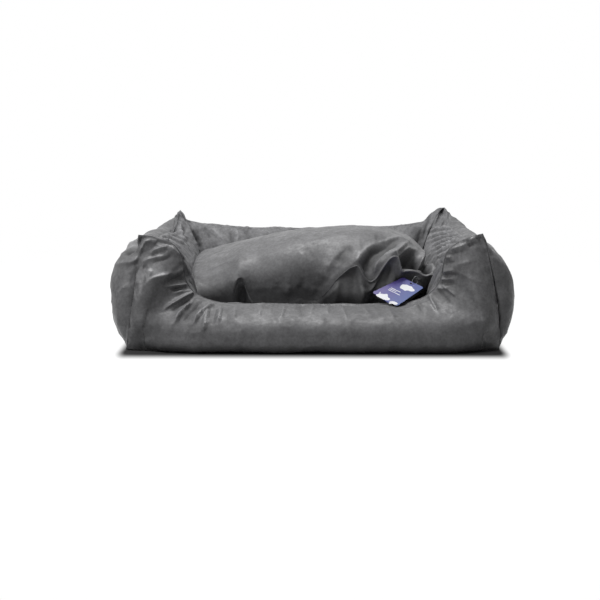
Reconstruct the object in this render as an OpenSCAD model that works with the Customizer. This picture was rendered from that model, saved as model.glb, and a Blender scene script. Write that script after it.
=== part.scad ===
/* [Basket] */
// Width between the outer corner seams at the floor
seam_w = 820; // [780:5:860]
// Depth between the outer corner seams at the floor
seam_d = 624; // [590:4:660]
// Height of the four corner ears
ear_h = 250; // [240:1:275]
// Height of the pointed tip on each ear
ear_tip = 26; // [10:1:32]
// How far the ears stand in from the corner seams
ear_in = 36; // [25:1:45]
// Height of the side ridges at mid-wall
side_h = 206; // [196:1:220]
// Height of the back ridge at mid-wall
back_h = 200; // [188:1:215]
// Thickness of a bolster where it meets the floor
bolster_t = 140; // [130:1:145]
// How far the side bolsters swell past their floor seams
side_bulge = 39; // [30:1:50]
// How far the front bolster swells past its floor seam
front_bulge = 38; // [20:1:45]
// How far the back bolster swells past its floor seam
back_bulge = 42; // [20:1:50]
// Share of its height by which the left bolster puffs up outside its ridge seam
left_puff = 0.34; // [0.05:0.01:0.4]
// Share of its height by which the right bolster puffs up outside its ridge seam
right_puff = 0.22; // [0.05:0.01:0.4]
// How far the inner faces of the side and back bolsters swell into the well
inner_bulge = 35; // [25:1:38]
// How far the side ridges lean in from the corner seams
side_lean = 28; // [22:1:34]
// How far the back ridge leans in from the corner seams
back_lean = 45; // [38:1:50]
// How far the side bolsters' outer floor seams bow out at mid-wall
side_bow = 10; // [4:1:14]
// How far the back bolster's outer floor seam bows out at mid-wall
back_bow = 14; // [6:1:18]

/* [Front entry] */
// Height of the front edge in the middle
entry_h = 90; // [80:1:98]
// Width of the opening between the two front posts
entry_w = 576; // [550:2:590]
// Width of the level stretch of the front edge
entry_flat_w = 340; // [280:4:380]
// Height above the entry at which the two front posts stand upright
post_rise = 75; // [66:1:84]
// How far the front ridge leans in from the corner seams
front_lean = 55; // [48:1:60]
// How far the front bolster's inner face swells into the well
front_inner_bulge = 16; // [8:1:22]
// How far the front bolster's outer floor seam bows out at mid-wall
front_bow = 20; // [12:1:24]

/* [Fabric and floor] */
// Thickness of the cover fabric
fabric_t = 1.2; // [0.8:0.1:1.6]
// Thickness of the non-slip underside
base_t = 1.6; // [1.2:0.1:2.4]
// Thickness of the wadding under the lying area
wadding_t = 6; // [4:0.5:9]
// Air left between a fill and the cover round it
fill_gap = 0.8; // [0.5:0.1:1.5]
// Air left between the floor of the lying area and the bolsters
floor_gap = 1.6; // [1.4:0.1:2.4]

/* [Cushion] */
// Height of the cushion's seam at the front and the ends
rim_h = 86; // [80:1:94]
// Height of the cushion's seam at the back, where the zip lies
zip_h = 150; // [144:1:156]
// Height of the cushion's crown
crown_h = 236; // [222:1:246]
// Share by which the crown falls away towards the left end
crown_lean = 0.35; // [0:0.05:0.4]
// Air left between the cushion's base and the bolsters
cushion_gap = 3; // [2:0.5:6]
// How far the cushion's ends swell past its base
end_swell = 28; // [12:1:30]
// How far the cushion's front swells past its base
front_swell = 18; // [8:1:22]
// How far the cushion's back swells past its base
back_swell = 8; // [4:1:10]
// How far the cushion's sides are drawn in between its corners
draw_in = 8; // [0:1:14]
// Height of the folds that lift the front seam
swag_h = 92; // [60:1:96]
// Width of one of those folds
swag_w = 88; // [76:1:100]
// Distance from the cushion's middle to the first fold
swag_at = 100; // [80:1:112]

/* [Zip] */
// Length of the toothed part of the zip
zip_l = 300; // [240:4:320]
// Height by which the seam parts to show the teeth
zip_slot = 9; // [8.6:0.1:10]
// Length of open seam beyond each end of the teeth
zip_clear = 8; // [7:0.5:10]
// Distance from one tooth to the next in a row
tooth_pitch = 5; // [4.5:0.1:6]
// Width across the head of a tooth
tooth_w = 1.8; // [1.4:0.1:1.9]
// Thickness of a tooth
tooth_t = 2.2; // [1.8:0.1:2.4]
// Width of each of the two zip tapes
tape_w = 6; // [5:0.5:7]
// Thickness of a zip tape
tape_t = 0.6; // [0.4:0.1:0.8]
// Length of the metal stop at each end of the zip
stop_l = 4; // [3:0.5:5]
// Length of the zip slider
slider_l = 11; // [9:0.5:14]
// Thickness of the slider's plate
plate_t = 1.6; // [1.2:0.1:1.8]
// Diameter of the pin across the pull's window
pin_d = 1.4; // [1.2:0.1:1.5]
// Length of the zip pull
pull_l = 18; // [14:0.5:19]
// Width of the zip pull
pull_w = 7; // [6.4:0.2:9]

/* [Hang tags] */
// Width of a card
card_w = 64; // [50:1:66]
// Length of a card
card_l = 95; // [76:1:97]
// Thickness of a card
card_t = 0.6; // [0.4:0.1:0.8]
// Radius of a card's corners
card_r = 6; // [3:0.5:9]
// Width of the hole in a card
card_hole = 6; // [5.8:0.1:7]
// Distance from the middle of the hole to the card's top edge
hole_in = 6; // [5:0.5:9]
// Air between the two cards
card_space = 0.5; // [0.4:0.1:1]
// Distance from the cushion's middle to the tab that holds the cards
tab_at = 237; // [232:1:242]
// Distance from the cushion's seam to the middle of the tab's eye
tab_reach = 10; // [8:0.5:11]
// Radius of the tab's round end
tab_r = 6; // [5.2:0.1:6.4]
// Thickness of the tab
tab_t = 1.6; // [1.2:0.1:1.8]
// Width of the tab's eye
tab_eye = 3.2; // [3:0.1:3.8]
// Turn of the cards towards the basket's middle, in degrees
card_turn = 43; // [36:1:48]
// Slope at which the loop and the cards lie, in degrees
card_slope = 19; // [17:0.5:20]
// Sideways tilt of the loop and the cards, in degrees
card_roll = 14; // [8:1:16]
// Radius of the fastener loop, to the middle of its strand
loop_r = 12; // [10:0.5:13]
// Thickness of the fastener's strand
loop_d = 1.4; // [1:0.1:1.6]

/* [Hidden] */

fabric_grey = [0.27, 0.27, 0.28];
lining_grey = [0.33, 0.33, 0.34];
underside_black = [0.10, 0.10, 0.11];
fibre_white = [0.92, 0.92, 0.90];
metal_grey = [0.45, 0.46, 0.48];
clear_grey = [0.85, 0.87, 0.88, 0.6];
tag_blue = [0.33, 0.35, 0.62];

half_w = seam_w / 2;
half_d = seam_d / 2;
floor_z = base_t;                              // where the bolsters stand
floor_top = base_t + wadding_t + fabric_t;     // where the cushion lies
soft_gap = 0.3;                                // between a lying piece and what it lies on

// A wall's numbers, in this order
HALF = 0;
RIDGE_Z = 1;
RIDGE_IN = 2;
OUT = 3;
IN = 4;
BOW = 5;
PUFF = 6;
FULL = 7;
TURN = 8;
IS_FRONT = 9;

front_puff = 0.02;
back_puff = 0.06;
front_full = 5;                                // how far towards the ears a wall keeps its swelling
wall_full = 6;
front = [half_w, entry_h, front_lean, front_bulge, front_inner_bulge, front_bow,
    front_puff, front_full, 0, true];
right = [half_d, side_h, side_lean, side_bulge, inner_bulge, side_bow,
    right_puff, wall_full, 90, false];
back = [half_w, back_h, back_lean, back_bulge, inner_bulge, back_bow,
    back_puff, wall_full, 180, false];
left = [half_d, side_h, side_lean, side_bulge, inner_bulge, side_bow,
    left_puff, wall_full, 270, false];

function lerp(a, b, t) = a + (b - a) * t;
function bezier(a, b, c, d, t) =
    pow(1 - t, 3) * a + 3 * pow(1 - t, 2) * t * b + 3 * (1 - t) * t * t * c + t * t * t * d;

// The front edge is level, then climbs in one curve to the post and in another to the ear
flat_share = 0.3;
rise_share = 0.62;
entry_lead = 66;                               // how far the entry's curve runs on level
entry_steep = 53;                              // how far it runs down from the post
entry_cut = 5;                                 // how far that end of it leans to the middle
post_top = 14;                                 // how far below the ear the post's curve turns
post_tilt = 4;                                 // how far the post leans outwards there
ear_flat = 42;                                 // how far the edge runs out to the ear
ear_dip = 16;                                  // how far below the ear that stretch starts
post_z = entry_h + post_rise;
entry_curve = [[entry_flat_w / 2, entry_h], [entry_flat_w / 2 + entry_lead, entry_h],
    [entry_w / 2 - entry_cut, post_z - entry_steep], [entry_w / 2, post_z]];
post_curve = [[entry_w / 2, post_z], [entry_w / 2 + post_tilt, ear_h - post_top],
    [half_w - ear_in - ear_flat, ear_h - ear_dip], [half_w - ear_in, ear_h]];
function on_curve(c, t) = bezier(c[0], c[1], c[2], c[3], t);

// The edge as distance along the wall and height, with q from the middle at 0 to the ear at 1
function front_edge(q) =
    q < flat_share
        ? [entry_flat_w / 2 * q / flat_share, entry_h]
        : q < rise_share
            ? on_curve(entry_curve, (q - flat_share) / (rise_share - flat_share))
            : on_curve(post_curve, (q - rise_share) / (1 - rise_share));

// The ridge seam at s, which runs from -1 at one ear to 1 at the other: along, out and up
function ridge(wall, s) =
    let (q = abs(s),
        out = -ear_in + (ear_in - wall[RIDGE_IN]) * (1 - pow(q, 4)),
        edge = front_edge(q),
        up = wall[RIDGE_Z] + (ear_h - ear_tip - wall[RIDGE_Z]) * pow(q, 3) + ear_tip * pow(q, 16))
    wall[IS_FRONT]
        ? [sign(s) * edge[0] / (wall[HALF] + out), out, edge[1]]
        : [s, out, up];

// The share of the wall's length at which the cloth from the ridge point s meets the floor
outer_spread = 1.15;
inner_spread = 1.8;
function foot_share(wall, s, spread) =
    wall[IS_FRONT] ? sign(s) * (1 - pow(1 - abs(ridge(wall, s)[0]), spread)) : s;

// Shape of the section, with distances at the ears and shares of the height
ear_swell = 6.6;                               // how far the outer face stands out at an ear
ear_back = 45;                                 // how far the inner face drops back at an ear
ear_toe = 30;                                  // how far its lower part keeps in at an ear
low_share = 0.3;                               // where the outer face starts to swell
ear_fall = -0.1;                               // how the outer face leaves the ridge at an ear
inner_fall = 0.1;                              // how the inner face leaves the ridge
inner_share = 0.46;                            // where the inner face is fullest
ridge_tuck = 0.8;                              // how much of an inset applies near the ridge
swell_pull = 1.1 / 0.75;                       // pull of the curve that gives 1 of swelling
toe_swell = 0.35;                              // share of the inner swelling that its lower part has

// The seven control points of a bolster's section at s, with every face taken in by inset
function section(wall, s, inset) =
    let (mid = 1 - pow(abs(foot_share(wall, s, outer_spread)), wall[FULL]),
        top = ridge(wall, s),
        rise = top[2] - floor_z,
        foot = [wall[BOW] * mid, floor_z],
        crest = [top[1], top[2]],
        toe = [-bolster_t, floor_z],
        tuck = ridge_tuck * inset,
        puff = lerp(ear_fall, wall[PUFF], mid),
        reach = (wall[OUT] + (wall[RIDGE_IN] - wall[BOW]) / 2) * mid * swell_pull + ear_swell)
    [foot + [-inset, 0],
        foot + [reach - inset, rise * low_share],
        crest + [reach - tuck, rise * puff - tuck],
        crest + [0, -2 * tuck],
        crest + [tuck - lerp(ear_back, wall[IN] + inner_fall * rise, mid), -inner_fall * rise - tuck],
        toe + [inset + lerp(ear_toe, -toe_swell * wall[IN], mid), inner_share * rise],
        toe + [inset, 0]];

function section_point(c, t) =
    t <= 1 ? bezier(c[0], c[1], c[2], c[3], t) : bezier(c[3], c[4], c[5], c[6], t - 1);

// Stands a point given as along, out and up in its place round the basket
function placed(wall, along, out, up) =
    let (a = wall[TURN], reach = (a == 0 || a == 180 ? half_d : half_w) + out)
    [along * cos(a) + reach * sin(a), along * sin(a) - reach * cos(a), up];

// A point on a bolster: t is 0 at the outer floor seam, 1 at the ridge and 2 at the inner one
function wall_point(wall, s, t, inset) =
    let (p = section_point(section(wall, s, inset), t),
        foot = foot_share(wall, s, t <= 1 ? outer_spread : inner_spread),
        share = lerp(foot, ridge(wall, s)[0], t <= 1 ? t : 2 - t))
    placed(wall, share * (wall[HALF] + p[0]), p[0], p[1]);

// Steps along a wall, which lie closer together towards the ears where its ridge is plain
front_steps = 28;
wall_steps = 16;
wall_rounds = 6;                               // steps from a floor seam up to the ridge
function even_steps(n) = [for (i = [0:n]) 2 * i / n - 1];
function wall_grid(wall) =
    wall[IS_FRONT]
        ? even_steps(front_steps)
        : [for (s = even_steps(wall_steps)) abs(s) < 1 ? sin(90 * s) : s];

function flat_list(rows) = [for (row = rows) for (p = row) p];

// A sheet of even rows with an outer and an inner face, closed round its edge. The squares of a
// face that is turned are split along their other diagonal.
module sheet(outer, inner, turned = [false, false]) {
    rows = len(outer) - 1;
    cols = len(outer[0]) - 1;
    wide = cols + 1;
    half = (rows + 1) * wide;
    function at(i, j) = i * wide + j;
    polyhedron(
        points = concat(flat_list(outer), flat_list(inner)),
        faces = concat(
            [for (i = [0:rows - 1]) for (j = [0:cols - 1])
                let (a = at(i, j), b = at(i, j + 1), c = at(i + 1, j), d = at(i + 1, j + 1))
                for (f = concat(
                    turned[0] ? [[a, b, d], [c, a, d]] : [[a, b, c], [c, b, d]],
                    turned[1]
                        ? [[half + a, half + d, half + b], [half + c, half + d, half + a]]
                        : [[half + a, half + c, half + b], [half + c, half + d, half + b]]))
                    f],
            [for (i = [0:rows - 1]) for (f = [
                [at(i, 0), at(i + 1, 0), half + at(i, 0)],
                [at(i + 1, 0), half + at(i + 1, 0), half + at(i, 0)],
                [at(i, cols), half + at(i, cols), at(i + 1, cols)],
                [at(i + 1, cols), half + at(i, cols), half + at(i + 1, cols)]]) f],
            [for (j = [0:cols - 1]) for (f = [
                [at(0, j), half + at(0, j), at(0, j + 1)],
                [at(0, j + 1), half + at(0, j), half + at(0, j + 1)],
                [at(rows, j), at(rows, j + 1), half + at(rows, j)],
                [at(rows, j + 1), half + at(rows, j + 1), half + at(rows, j)]]) f]));
}

// One sewn panel of a bolster's cover, from t0 to t1 round its section
module wall_panel(wall, t0, t1) {
    function layer(inset) = [for (s = wall_grid(wall))
        [for (j = [0:wall_rounds]) wall_point(wall, s, lerp(t0, t1, j / wall_rounds), inset)]];
    sheet(layer(0), layer(fabric_t));
}

// The stuffing of one bolster, which stops short of its neighbours at the mitred corners
fill_share = 0.992;                            // how much of the wall's length its fill takes
module wall_fill(wall) {
    steps = [for (s = wall_grid(wall)) abs(s) < 1 ? s : s * fill_share];
    ring = 2 * wall_rounds + 1;
    rings = [for (s = steps)
        [for (j = [0:ring - 1]) wall_point(wall, s, j / wall_rounds, fabric_t + fill_gap)]];
    last = (len(steps) - 1) * ring;
    polyhedron(
        points = flat_list(rings),
        faces = concat(
            [for (i = [0:len(steps) - 2]) for (j = [0:ring - 1])
                let (k = (j + 1) % ring, a = i * ring, b = a + ring)
                for (f = [[a + j, a + k, b + j], [b + j, a + k, b + k]]) f],
            [for (j = [0:wall_rounds - 1])
                let (o = j, p = j + 1, m = ring - 1 - j, n = ring - 2 - j)
                for (f = p == n ? [[o, m, p]] : [[o, m, p], [p, m, n]]) f],
            [for (j = [0:wall_rounds - 1])
                let (o = last + j, p = o + 1, m = last + ring - 1 - j, n = m - 1)
                for (f = p == n ? [[o, p, m]] : [[o, p, m], [p, n, m]]) f]));
}

// The outline of the underside, which follows the outer floor seams
function floor_outline() = [for (wall = [front, right, back, left])
    for (s = even_steps(12))
        if (s < 1) let (p = wall_point(wall, s, 0, 0)) [p[0], p[1]]];

module lying_area(height) {
    linear_extrude(height)
        square([seam_w - 2 * (bolster_t + floor_gap), seam_d - 2 * (bolster_t + floor_gap)],
            center = true);
}

// How far a fold lifts the front seam at x, from 0 to 1. The seam stays part way up past the first.
swag_low = 0.4;
swag_held = 0.55;
function swag(x) =
    let (k = (x - swag_at) / swag_w, wave = (1 + cos(360 * k)) / 2)
    k < -0.5 ? 0 : k < 0 ? wave : lerp(k < 1 ? swag_low : swag_held, 1, k < 1.5 ? wave : 0);

base_half = [half_w - bolster_t - cushion_gap, half_d - bolster_t - cushion_gap];
zip_y = base_half[1] + back_swell;
zip_reach = (zip_l / 2 + zip_clear) / base_half[0];

// Share of the seam's rise at v, where v is -1 at the cushion's front and 1 at its back
function climb(v) = 1 - pow((1 - v) / 2, 3);

// Height of the seam above or below a point of the cushion, with u from -1 to 1 across it
function rim_at(u, v) =
    lerp(rim_h, zip_h, climb(v)) + swag_h * swag(u * base_half[0]) * pow((1 - v) / 2, 3);

// Plan of the cushion, where k is 0 at its base and 1 at its seam. An inset moves the ends in
// only near the ends, so that it leaves the flanks of the folds where they are.
corner_round = 0.015;
front_share = 0.35;                            // share of the ends' swelling at the front corners
function cushion_plan(u, v, k, inset) =
    let (hx = base_half[0] + end_swell * lerp(front_share, 1, climb(v)) * k,
        hy = base_half[1] + (v < 0 ? front_swell : back_swell) * k - inset,
        corner = 1 - corner_round * pow(u * v, 8),
        folded = swag(u * base_half[0]) * (1 - pow(u, 8)),
        drawn = v < 0 ? draw_in * (1 - u * u + folded) * pow(v, 4) : 0,
        pulled = draw_in * (1 - v * v) * pow(u, 4) + inset * pow(u, 12))
    [(u * hx - sign(u) * pulled) * corner, v * hy * corner + drawn];

// Share of the crown's height at a point, which falls off sooner towards the left end
function dome(u, v) =
    sqrt(1 - pow(abs(u), u < 0 ? 2 : 3)) * sqrt(1 - pow(v, 4)) * (1 - crown_lean * (1 - u) / 2);
dome_top = max([for (i = [0:40]) dome(i / 40, 0)]);

// Half the height by which the back seam parts to show the zip
function slot_at(u, v) = v == 1 && abs(u) < zip_reach + 0.001 ? zip_slot / 2 : 0;

function cushion_top(u, v, inset) =
    let (rim = rim_at(u, v), p = cushion_plan(u, v, 1, inset))
    [p[0], p[1], rim + slot_at(u, v) + dome(u, v) / dome_top * (crown_h - inset - rim)];

// The underside is flat in the middle and climbs to the seam over its outer part
base_share = 0.7;
base_curl = 1.5;
function cushion_bottom(u, v, inset) =
    let (out = max(abs(u), abs(v)),
        k = pow(max(0, out - base_share) / (1 - base_share), base_curl),
        rim = out == 0 ? rim_h : rim_at(u / out, v / out),
        p = cushion_plan(u, v, pow(k, 3), inset),
        low = floor_top + soft_gap + inset)
    [p[0], p[1], low + (rim - low) * k - slot_at(u, v)];

// Steps across the cushion, closer together over the folds, at the zip's ends and at each side
zip_step = 0.03;
cushion_u = concat(
    [-1, -0.96, -0.87, -0.74, -zip_reach - zip_step],
    [for (i = [-2:-1]) zip_reach * i / 2],
    [for (i = [0:7]) zip_reach * i / 7],
    [for (i = [0:5]) lerp(zip_reach + zip_step, 0.94, i / 5)],
    [0.98, 1]);
cushion_v = [for (i = [0:8]) i == 8 ? 1 : sin(90 * (i / 4 - 1))];

function top_layer(inset) = [for (u = cushion_u) [for (v = cushion_v) cushion_top(u, v, inset)]];
function low_layer(inset) = [for (u = cushion_u) [for (v = cushion_v) cushion_bottom(u, v, inset)]];

module base_panel() {
    color(underside_black)
        linear_extrude(base_t)
            polygon(floor_outline());
}

module base_wadding() {
    color(fibre_white)
        translate([0, 0, base_t])
            lying_area(wadding_t);
}

module floor_panel() {
    color(lining_grey)
        translate([0, 0, base_t + wadding_t])
            lying_area(fabric_t);
}

module front_outer_panel() { color(fabric_grey) wall_panel(front, 0, 1); }
module right_outer_panel() { color(fabric_grey) wall_panel(right, 0, 1); }
module back_outer_panel() { color(fabric_grey) wall_panel(back, 0, 1); }
module left_outer_panel() { color(fabric_grey) wall_panel(left, 0, 1); }
module front_inner_panel() { color(lining_grey) wall_panel(front, 1, 2); }
module right_inner_panel() { color(lining_grey) wall_panel(right, 1, 2); }
module back_inner_panel() { color(lining_grey) wall_panel(back, 1, 2); }
module left_inner_panel() { color(lining_grey) wall_panel(left, 1, 2); }
module front_fill() { color(fibre_white) wall_fill(front); }
module right_fill() { color(fibre_white) wall_fill(right); }
module back_fill() { color(fibre_white) wall_fill(back); }
module left_fill() { color(fibre_white) wall_fill(left); }

module cushion_top_panel() { color(fabric_grey) sheet(top_layer(0), top_layer(fabric_t)); }
module cushion_bottom_panel() {
    color(fabric_grey)
        sheet(low_layer(fabric_t), low_layer(0), [true, true]);
}

// The stuffing is drawn back behind the zip, and has a thin blunt edge within the seam
zip_room = 5;                                  // depth kept free for the zip
fill_edge = 0.6;                               // thickness of the blunt edge
module cushion_fill() {
    gap = fabric_t + fill_gap;
    function drawn_back(layer, drop) = [for (row = layer) [for (p = row)
        [p[0], p[1] > 0 ? p[1] * (1 - zip_room / zip_y) : p[1], p[2] - drop]]];
    color(fibre_white)
        sheet(drawn_back(top_layer(gap), 0), drawn_back(low_layer(gap + fill_edge), fill_edge),
            [false, true]);
}

// The zip's own frame: x along it, y out of the cushion, z up, with the teeth meeting at z = 0
tape_y = -3.5;                                 // middle of the tapes, behind the fabric
tape_edge = 3;                                 // half the distance between the two tapes
run_gap = 0.6;                                 // between the teeth and the slider
slot_gap = 0.4;                                // between the slider and each lip of the seam
plate_y = tape_y + tooth_t / 2 + run_gap;      // inner face of the slider's plate
slider_h = zip_slot - 2 * slot_gap;
tooth_count = floor((zip_l - tooth_pitch) / tooth_pitch);
run_l = (tooth_count + 1) * tooth_pitch;       // length of the rows with half a pitch at each end
stop_gap = 1;                                  // from the rows to the slider's end or a stop
slider_x = run_l / 2 - slider_l / 2 - stop_gap; // the zip is closed at rest
rail_t = 0.8;                                  // thickness of the slider's two rails
arm_t = 1.2;                                   // thickness of the pull
window_l = 6.4;                                // from the pull's pin to its window's far end
arch_l = 8.4;                                  // length, width and thickness of the slider's arch
arch_w = 2.4;
arch_t = 1;
arch_leg = 1.4;
arch_in = 2.3;                                 // clear height under the arch
arch_gap = 0.4;                                // between the arch and the pull's arms
pin_high = 0.05;                               // how far the pin lies above the arch's middle
pin_in = 0.1;                                  // how far each end of the pin stands in
pin_y = plate_y + plate_t + arch_in / 2 + pin_high;

module in_zip_frame() {
    translate([0, zip_y, zip_h])
        children();
}

module zip_tape(side) {
    in_zip_frame()
        translate([-zip_l / 2 - zip_clear, tape_y - tape_t / 2, side > 0 ? tape_edge : -tape_edge - tape_w])
            cube([zip_l + 2 * zip_clear, tape_t, tape_w]);
}

// One tooth seen from outside, with its root on the tape's edge and its head past the middle
module tooth() {
    head = tooth_w / 2;
    neck = head / 2;
    root_z = tape_edge - 1;                    // where the root starts to narrow
    neck_z = 1.1;
    head_z = -0.2;
    tip_z = -1.2;
    polygon([[-head, tape_edge], [-head, root_z], [-neck, neck_z], [-head, head_z],
        [-neck, tip_z], [neck, tip_z], [head, head_z], [neck, neck_z],
        [head, root_z], [head, tape_edge]]);
}

// The two rows are half a pitch apart, so that each head lies between two heads of the other row
module zip_teeth(side) {
    in_zip_frame()
        for (i = [0:tooth_count - 1])
            translate([(i - (tooth_count - 1) / 2) * tooth_pitch + side * tooth_pitch / 4, 0, 0])
                translate([0, tape_y + tooth_t / 2, 0])
                    rotate([90, 0, 0])
                        linear_extrude(tooth_t)
                            mirror([0, side > 0 ? 0 : 1])
                                tooth();
}

module zip_stop(x) {
    in_zip_frame()
        translate([x - stop_l / 2, tape_y - tooth_t / 2, -tape_edge])
            cube([stop_l, tooth_t, 2 * tape_edge]);
}

module zip_upper_tape() { color(fabric_grey) zip_tape(1); }
module zip_lower_tape() { color(fabric_grey) zip_tape(-1); }
module zip_upper_teeth() { color(metal_grey) zip_teeth(1); }
module zip_lower_teeth() { color(metal_grey) zip_teeth(-1); }

module zip_end_stops() {
    stop_x = run_l / 2 + stop_gap + stop_l / 2;
    color(metal_grey)
        for (x = [-stop_x, stop_x])
            zip_stop(x);
}

// A plate with two rails that run along the teeth, and the arch that holds the pull
module zip_slider() {
    rail_d = plate_y - (tape_y + tape_t / 2) - soft_gap;
    color(metal_grey)
        in_zip_frame()
            translate([slider_x, 0, 0]) {
                translate([-slider_l / 2, plate_y, -slider_h / 2])
                    cube([slider_l, plate_t, slider_h]);
                for (z = [-slider_h / 2, slider_h / 2 - rail_t])
                    translate([-slider_l / 2, plate_y - rail_d, z])
                        cube([slider_l, rail_d, rail_t]);
                translate([0, plate_y + plate_t, -arch_w / 2])
                    linear_extrude(arch_w)
                        difference() {
                            translate([-arch_l / 2, 0])
                                square([arch_l, arch_in + arch_t]);
                            translate([-arch_l / 2 + arch_leg, 0])
                                square([arch_l - 2 * arch_leg, arch_in]);
                        }
            }
}

// A plate with a window over the slider's arch and a pin across the window's end
module zip_pull() {
    back_l = 0.8;                              // how far the arms reach past the pin
    color(metal_grey)
        in_zip_frame()
            translate([slider_x, pin_y, 0]) {
                rotate([90, 0, 0])
                    translate([0, 0, -arm_t / 2])
                        linear_extrude(arm_t)
                            difference() {
                                union() {
                                    translate([-back_l, -pull_w / 2])
                                        square([pull_l + back_l - pull_w / 2, pull_w]);
                                    translate([pull_l - pull_w / 2, 0])
                                        circle(d = pull_w, $fn = 32);
                                }
                                translate([-back_l - 1, -arch_w / 2 - arch_gap])
                                    square([window_l + back_l + 1, arch_w + 2 * arch_gap]);
                            }
                cylinder(d = pin_d, h = pull_w - 2 * pin_in, center = true, $fn = 24);
            }
}

// The tab stands out from the front seam, and the loop passes through its eye
tab_seam = cushion_top(tab_at / base_half[0], -1, 0);
eye_at = tab_seam - [0, tab_reach + soft_gap, 0];

module hanger_tab() {
    color(lining_grey)
        translate(eye_at - [0, 0, tab_t / 2])
            linear_extrude(tab_t)
                difference() {
                    union() {
                        circle(r = tab_r, $fn = 40);
                        translate([-tab_r, 0])
                            square([2 * tab_r, tab_reach]);
                    }
                    circle(d = tab_eye, $fn = 24);
                }
}

// The loop's and cards' frame: y runs back from the strand in the cards' holes to the tab's eye
module in_loop_frame() {
    translate(eye_at)
        rotate([0, 0, -card_turn])
            rotate([card_slope, card_roll, 0])
                translate([0, -2 * loop_r, 0])
                    children();
}

module tag_loop() {
    color(clear_grey)
        in_loop_frame()
            translate([0, loop_r, 0])
                rotate([0, 90, 0])
                    rotate_extrude($fn = 48)
                        translate([loop_r, 0])
                            circle(d = loop_d, $fn = 12);
}

// A card with round corners, hung by the hole near the middle of its top edge
card_fan = 9;                                  // angle between the two cards
card_play = 0.9;                               // between the strand and the top of a hole
hole_drop = (card_hole - loop_d) / 2 - card_play;
module tag_card(fan, lift) {
    in_loop_frame()
        rotate([0, 0, fan])
            translate([0, -hole_drop, lift - card_t / 2])
                linear_extrude(card_t)
                    difference() {
                        translate([-card_w / 2 + card_r, hole_in - card_l + card_r])
                            offset(r = card_r, $fn = 24)
                                square([card_w - 2 * card_r, card_l - 2 * card_r]);
                        circle(d = card_hole, $fn = 24);
                    }
}

module front_tag_card() { color(tag_blue) tag_card(0, (card_t + card_space) / 2); }
module rear_tag_card() { color(tag_blue) tag_card(-card_fan, -(card_t + card_space) / 2); }

base_panel();
base_wadding();
floor_panel();
front_outer_panel();
right_outer_panel();
back_outer_panel();
left_outer_panel();
front_inner_panel();
right_inner_panel();
back_inner_panel();
left_inner_panel();
front_fill();
right_fill();
back_fill();
left_fill();
cushion_top_panel();
cushion_bottom_panel();
cushion_fill();
zip_upper_tape();
zip_lower_tape();
zip_upper_teeth();
zip_lower_teeth();
zip_end_stops();
zip_slider();
zip_pull();
hanger_tab();
tag_loop();
front_tag_card();
rear_tag_card();
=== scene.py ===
"""The dog basket's looks: cloth panels, cushion, zip and hang tags over the CAD frame.

Lengths are in mm. MM turns them into Blender's metres."""
import math

import bpy
import numpy as np
from mathutils import Euler, Matrix, Vector


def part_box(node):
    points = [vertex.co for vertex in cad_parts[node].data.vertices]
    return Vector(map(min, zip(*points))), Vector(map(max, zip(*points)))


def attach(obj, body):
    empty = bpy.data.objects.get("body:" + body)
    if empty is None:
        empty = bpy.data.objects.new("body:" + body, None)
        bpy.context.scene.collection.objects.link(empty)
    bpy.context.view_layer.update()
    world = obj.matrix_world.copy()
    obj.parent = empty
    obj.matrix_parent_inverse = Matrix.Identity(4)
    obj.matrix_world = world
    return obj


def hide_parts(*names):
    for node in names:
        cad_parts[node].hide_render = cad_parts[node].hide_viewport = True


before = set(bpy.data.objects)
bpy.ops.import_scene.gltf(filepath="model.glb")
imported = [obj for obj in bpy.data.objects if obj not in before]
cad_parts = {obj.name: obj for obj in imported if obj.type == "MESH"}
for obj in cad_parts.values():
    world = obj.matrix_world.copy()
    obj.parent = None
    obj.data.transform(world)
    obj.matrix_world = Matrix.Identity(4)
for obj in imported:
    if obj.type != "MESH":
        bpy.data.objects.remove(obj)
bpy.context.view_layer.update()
MM = 0.001
DETAIL = 1.0

# Sizes, as in the CAD
HALF_W, HALF_D = 410, 312
EAR_H, EAR_TIP, EAR_IN = 250, 26, 36
BOLSTER_T = 140
ENTRY_H, ENTRY_HALF, ENTRY_FLAT = 90, 288, 170
POST_Z = ENTRY_H + 75
FLOOR_Z = 1.6
CLOTH = 1.2
FILL_INSET, FRONT_FILL_INSET = 18, 23
# Half length, ridge height, ridge lean, outer bulge, inner bulge, bow, puff, fullness, turn in degrees
WALLS = {
    "front": (HALF_W, ENTRY_H, 55, 38, 16, 20, 0.02, 5, 0),
    "right": (HALF_D, 206, 28, 39, 35, 10, 0.22, 6, 90),
    "back": (HALF_W, 200, 45, 42, 35, 14, 0.06, 6, 180),
    "left": (HALF_D, 206, 28, 39, 35, 10, 0.34, 6, 270),
}
PAD_W, PAD_D, PAD_SWELL, PAD_FRONT, PAD_BACK = 267, 169, 28, 18, 8
ZIP_H, CROWN_H = 150, 236
ZIP_REACH, ZIP_GAP = 158, 4.5
PAD_LOW = 9.1
CORE_SHARE = 0.76
WELL_HALF_W, WELL_HALF_D, WADDING_TOP, FLOOR_TOP = 268.4, 170.4, 7.6, 8.8
# A square's corners, from the front left one on
SQUARE = ((-1, -1), (1, -1), (1, 1), (-1, 1))

# The photograph's camera
CAM_AT = np.array([-18.6, -2076.6, 476.0])
CAM_YAW, CAM_PITCH = 0.005, 0.2035
CAM_LENS, SENSOR, PICTURE = 49.8, 36.0, 600
CAM_F = CAM_LENS / SENSOR * PICTURE


# Curves, noise and folds
def lerp(a, b, t):
    return a + (b - a) * t


def smooth(a, b, x):
    """0 up to a, 1 from b on, and a smooth step between."""
    t = np.clip((x - a) / (b - a), 0, 1)
    return t * t * (3 - 2 * t)


def bell(x, width):
    """1 where x is 0, fading out over the width."""
    return np.exp(-(x / width) ** 2)


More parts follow.
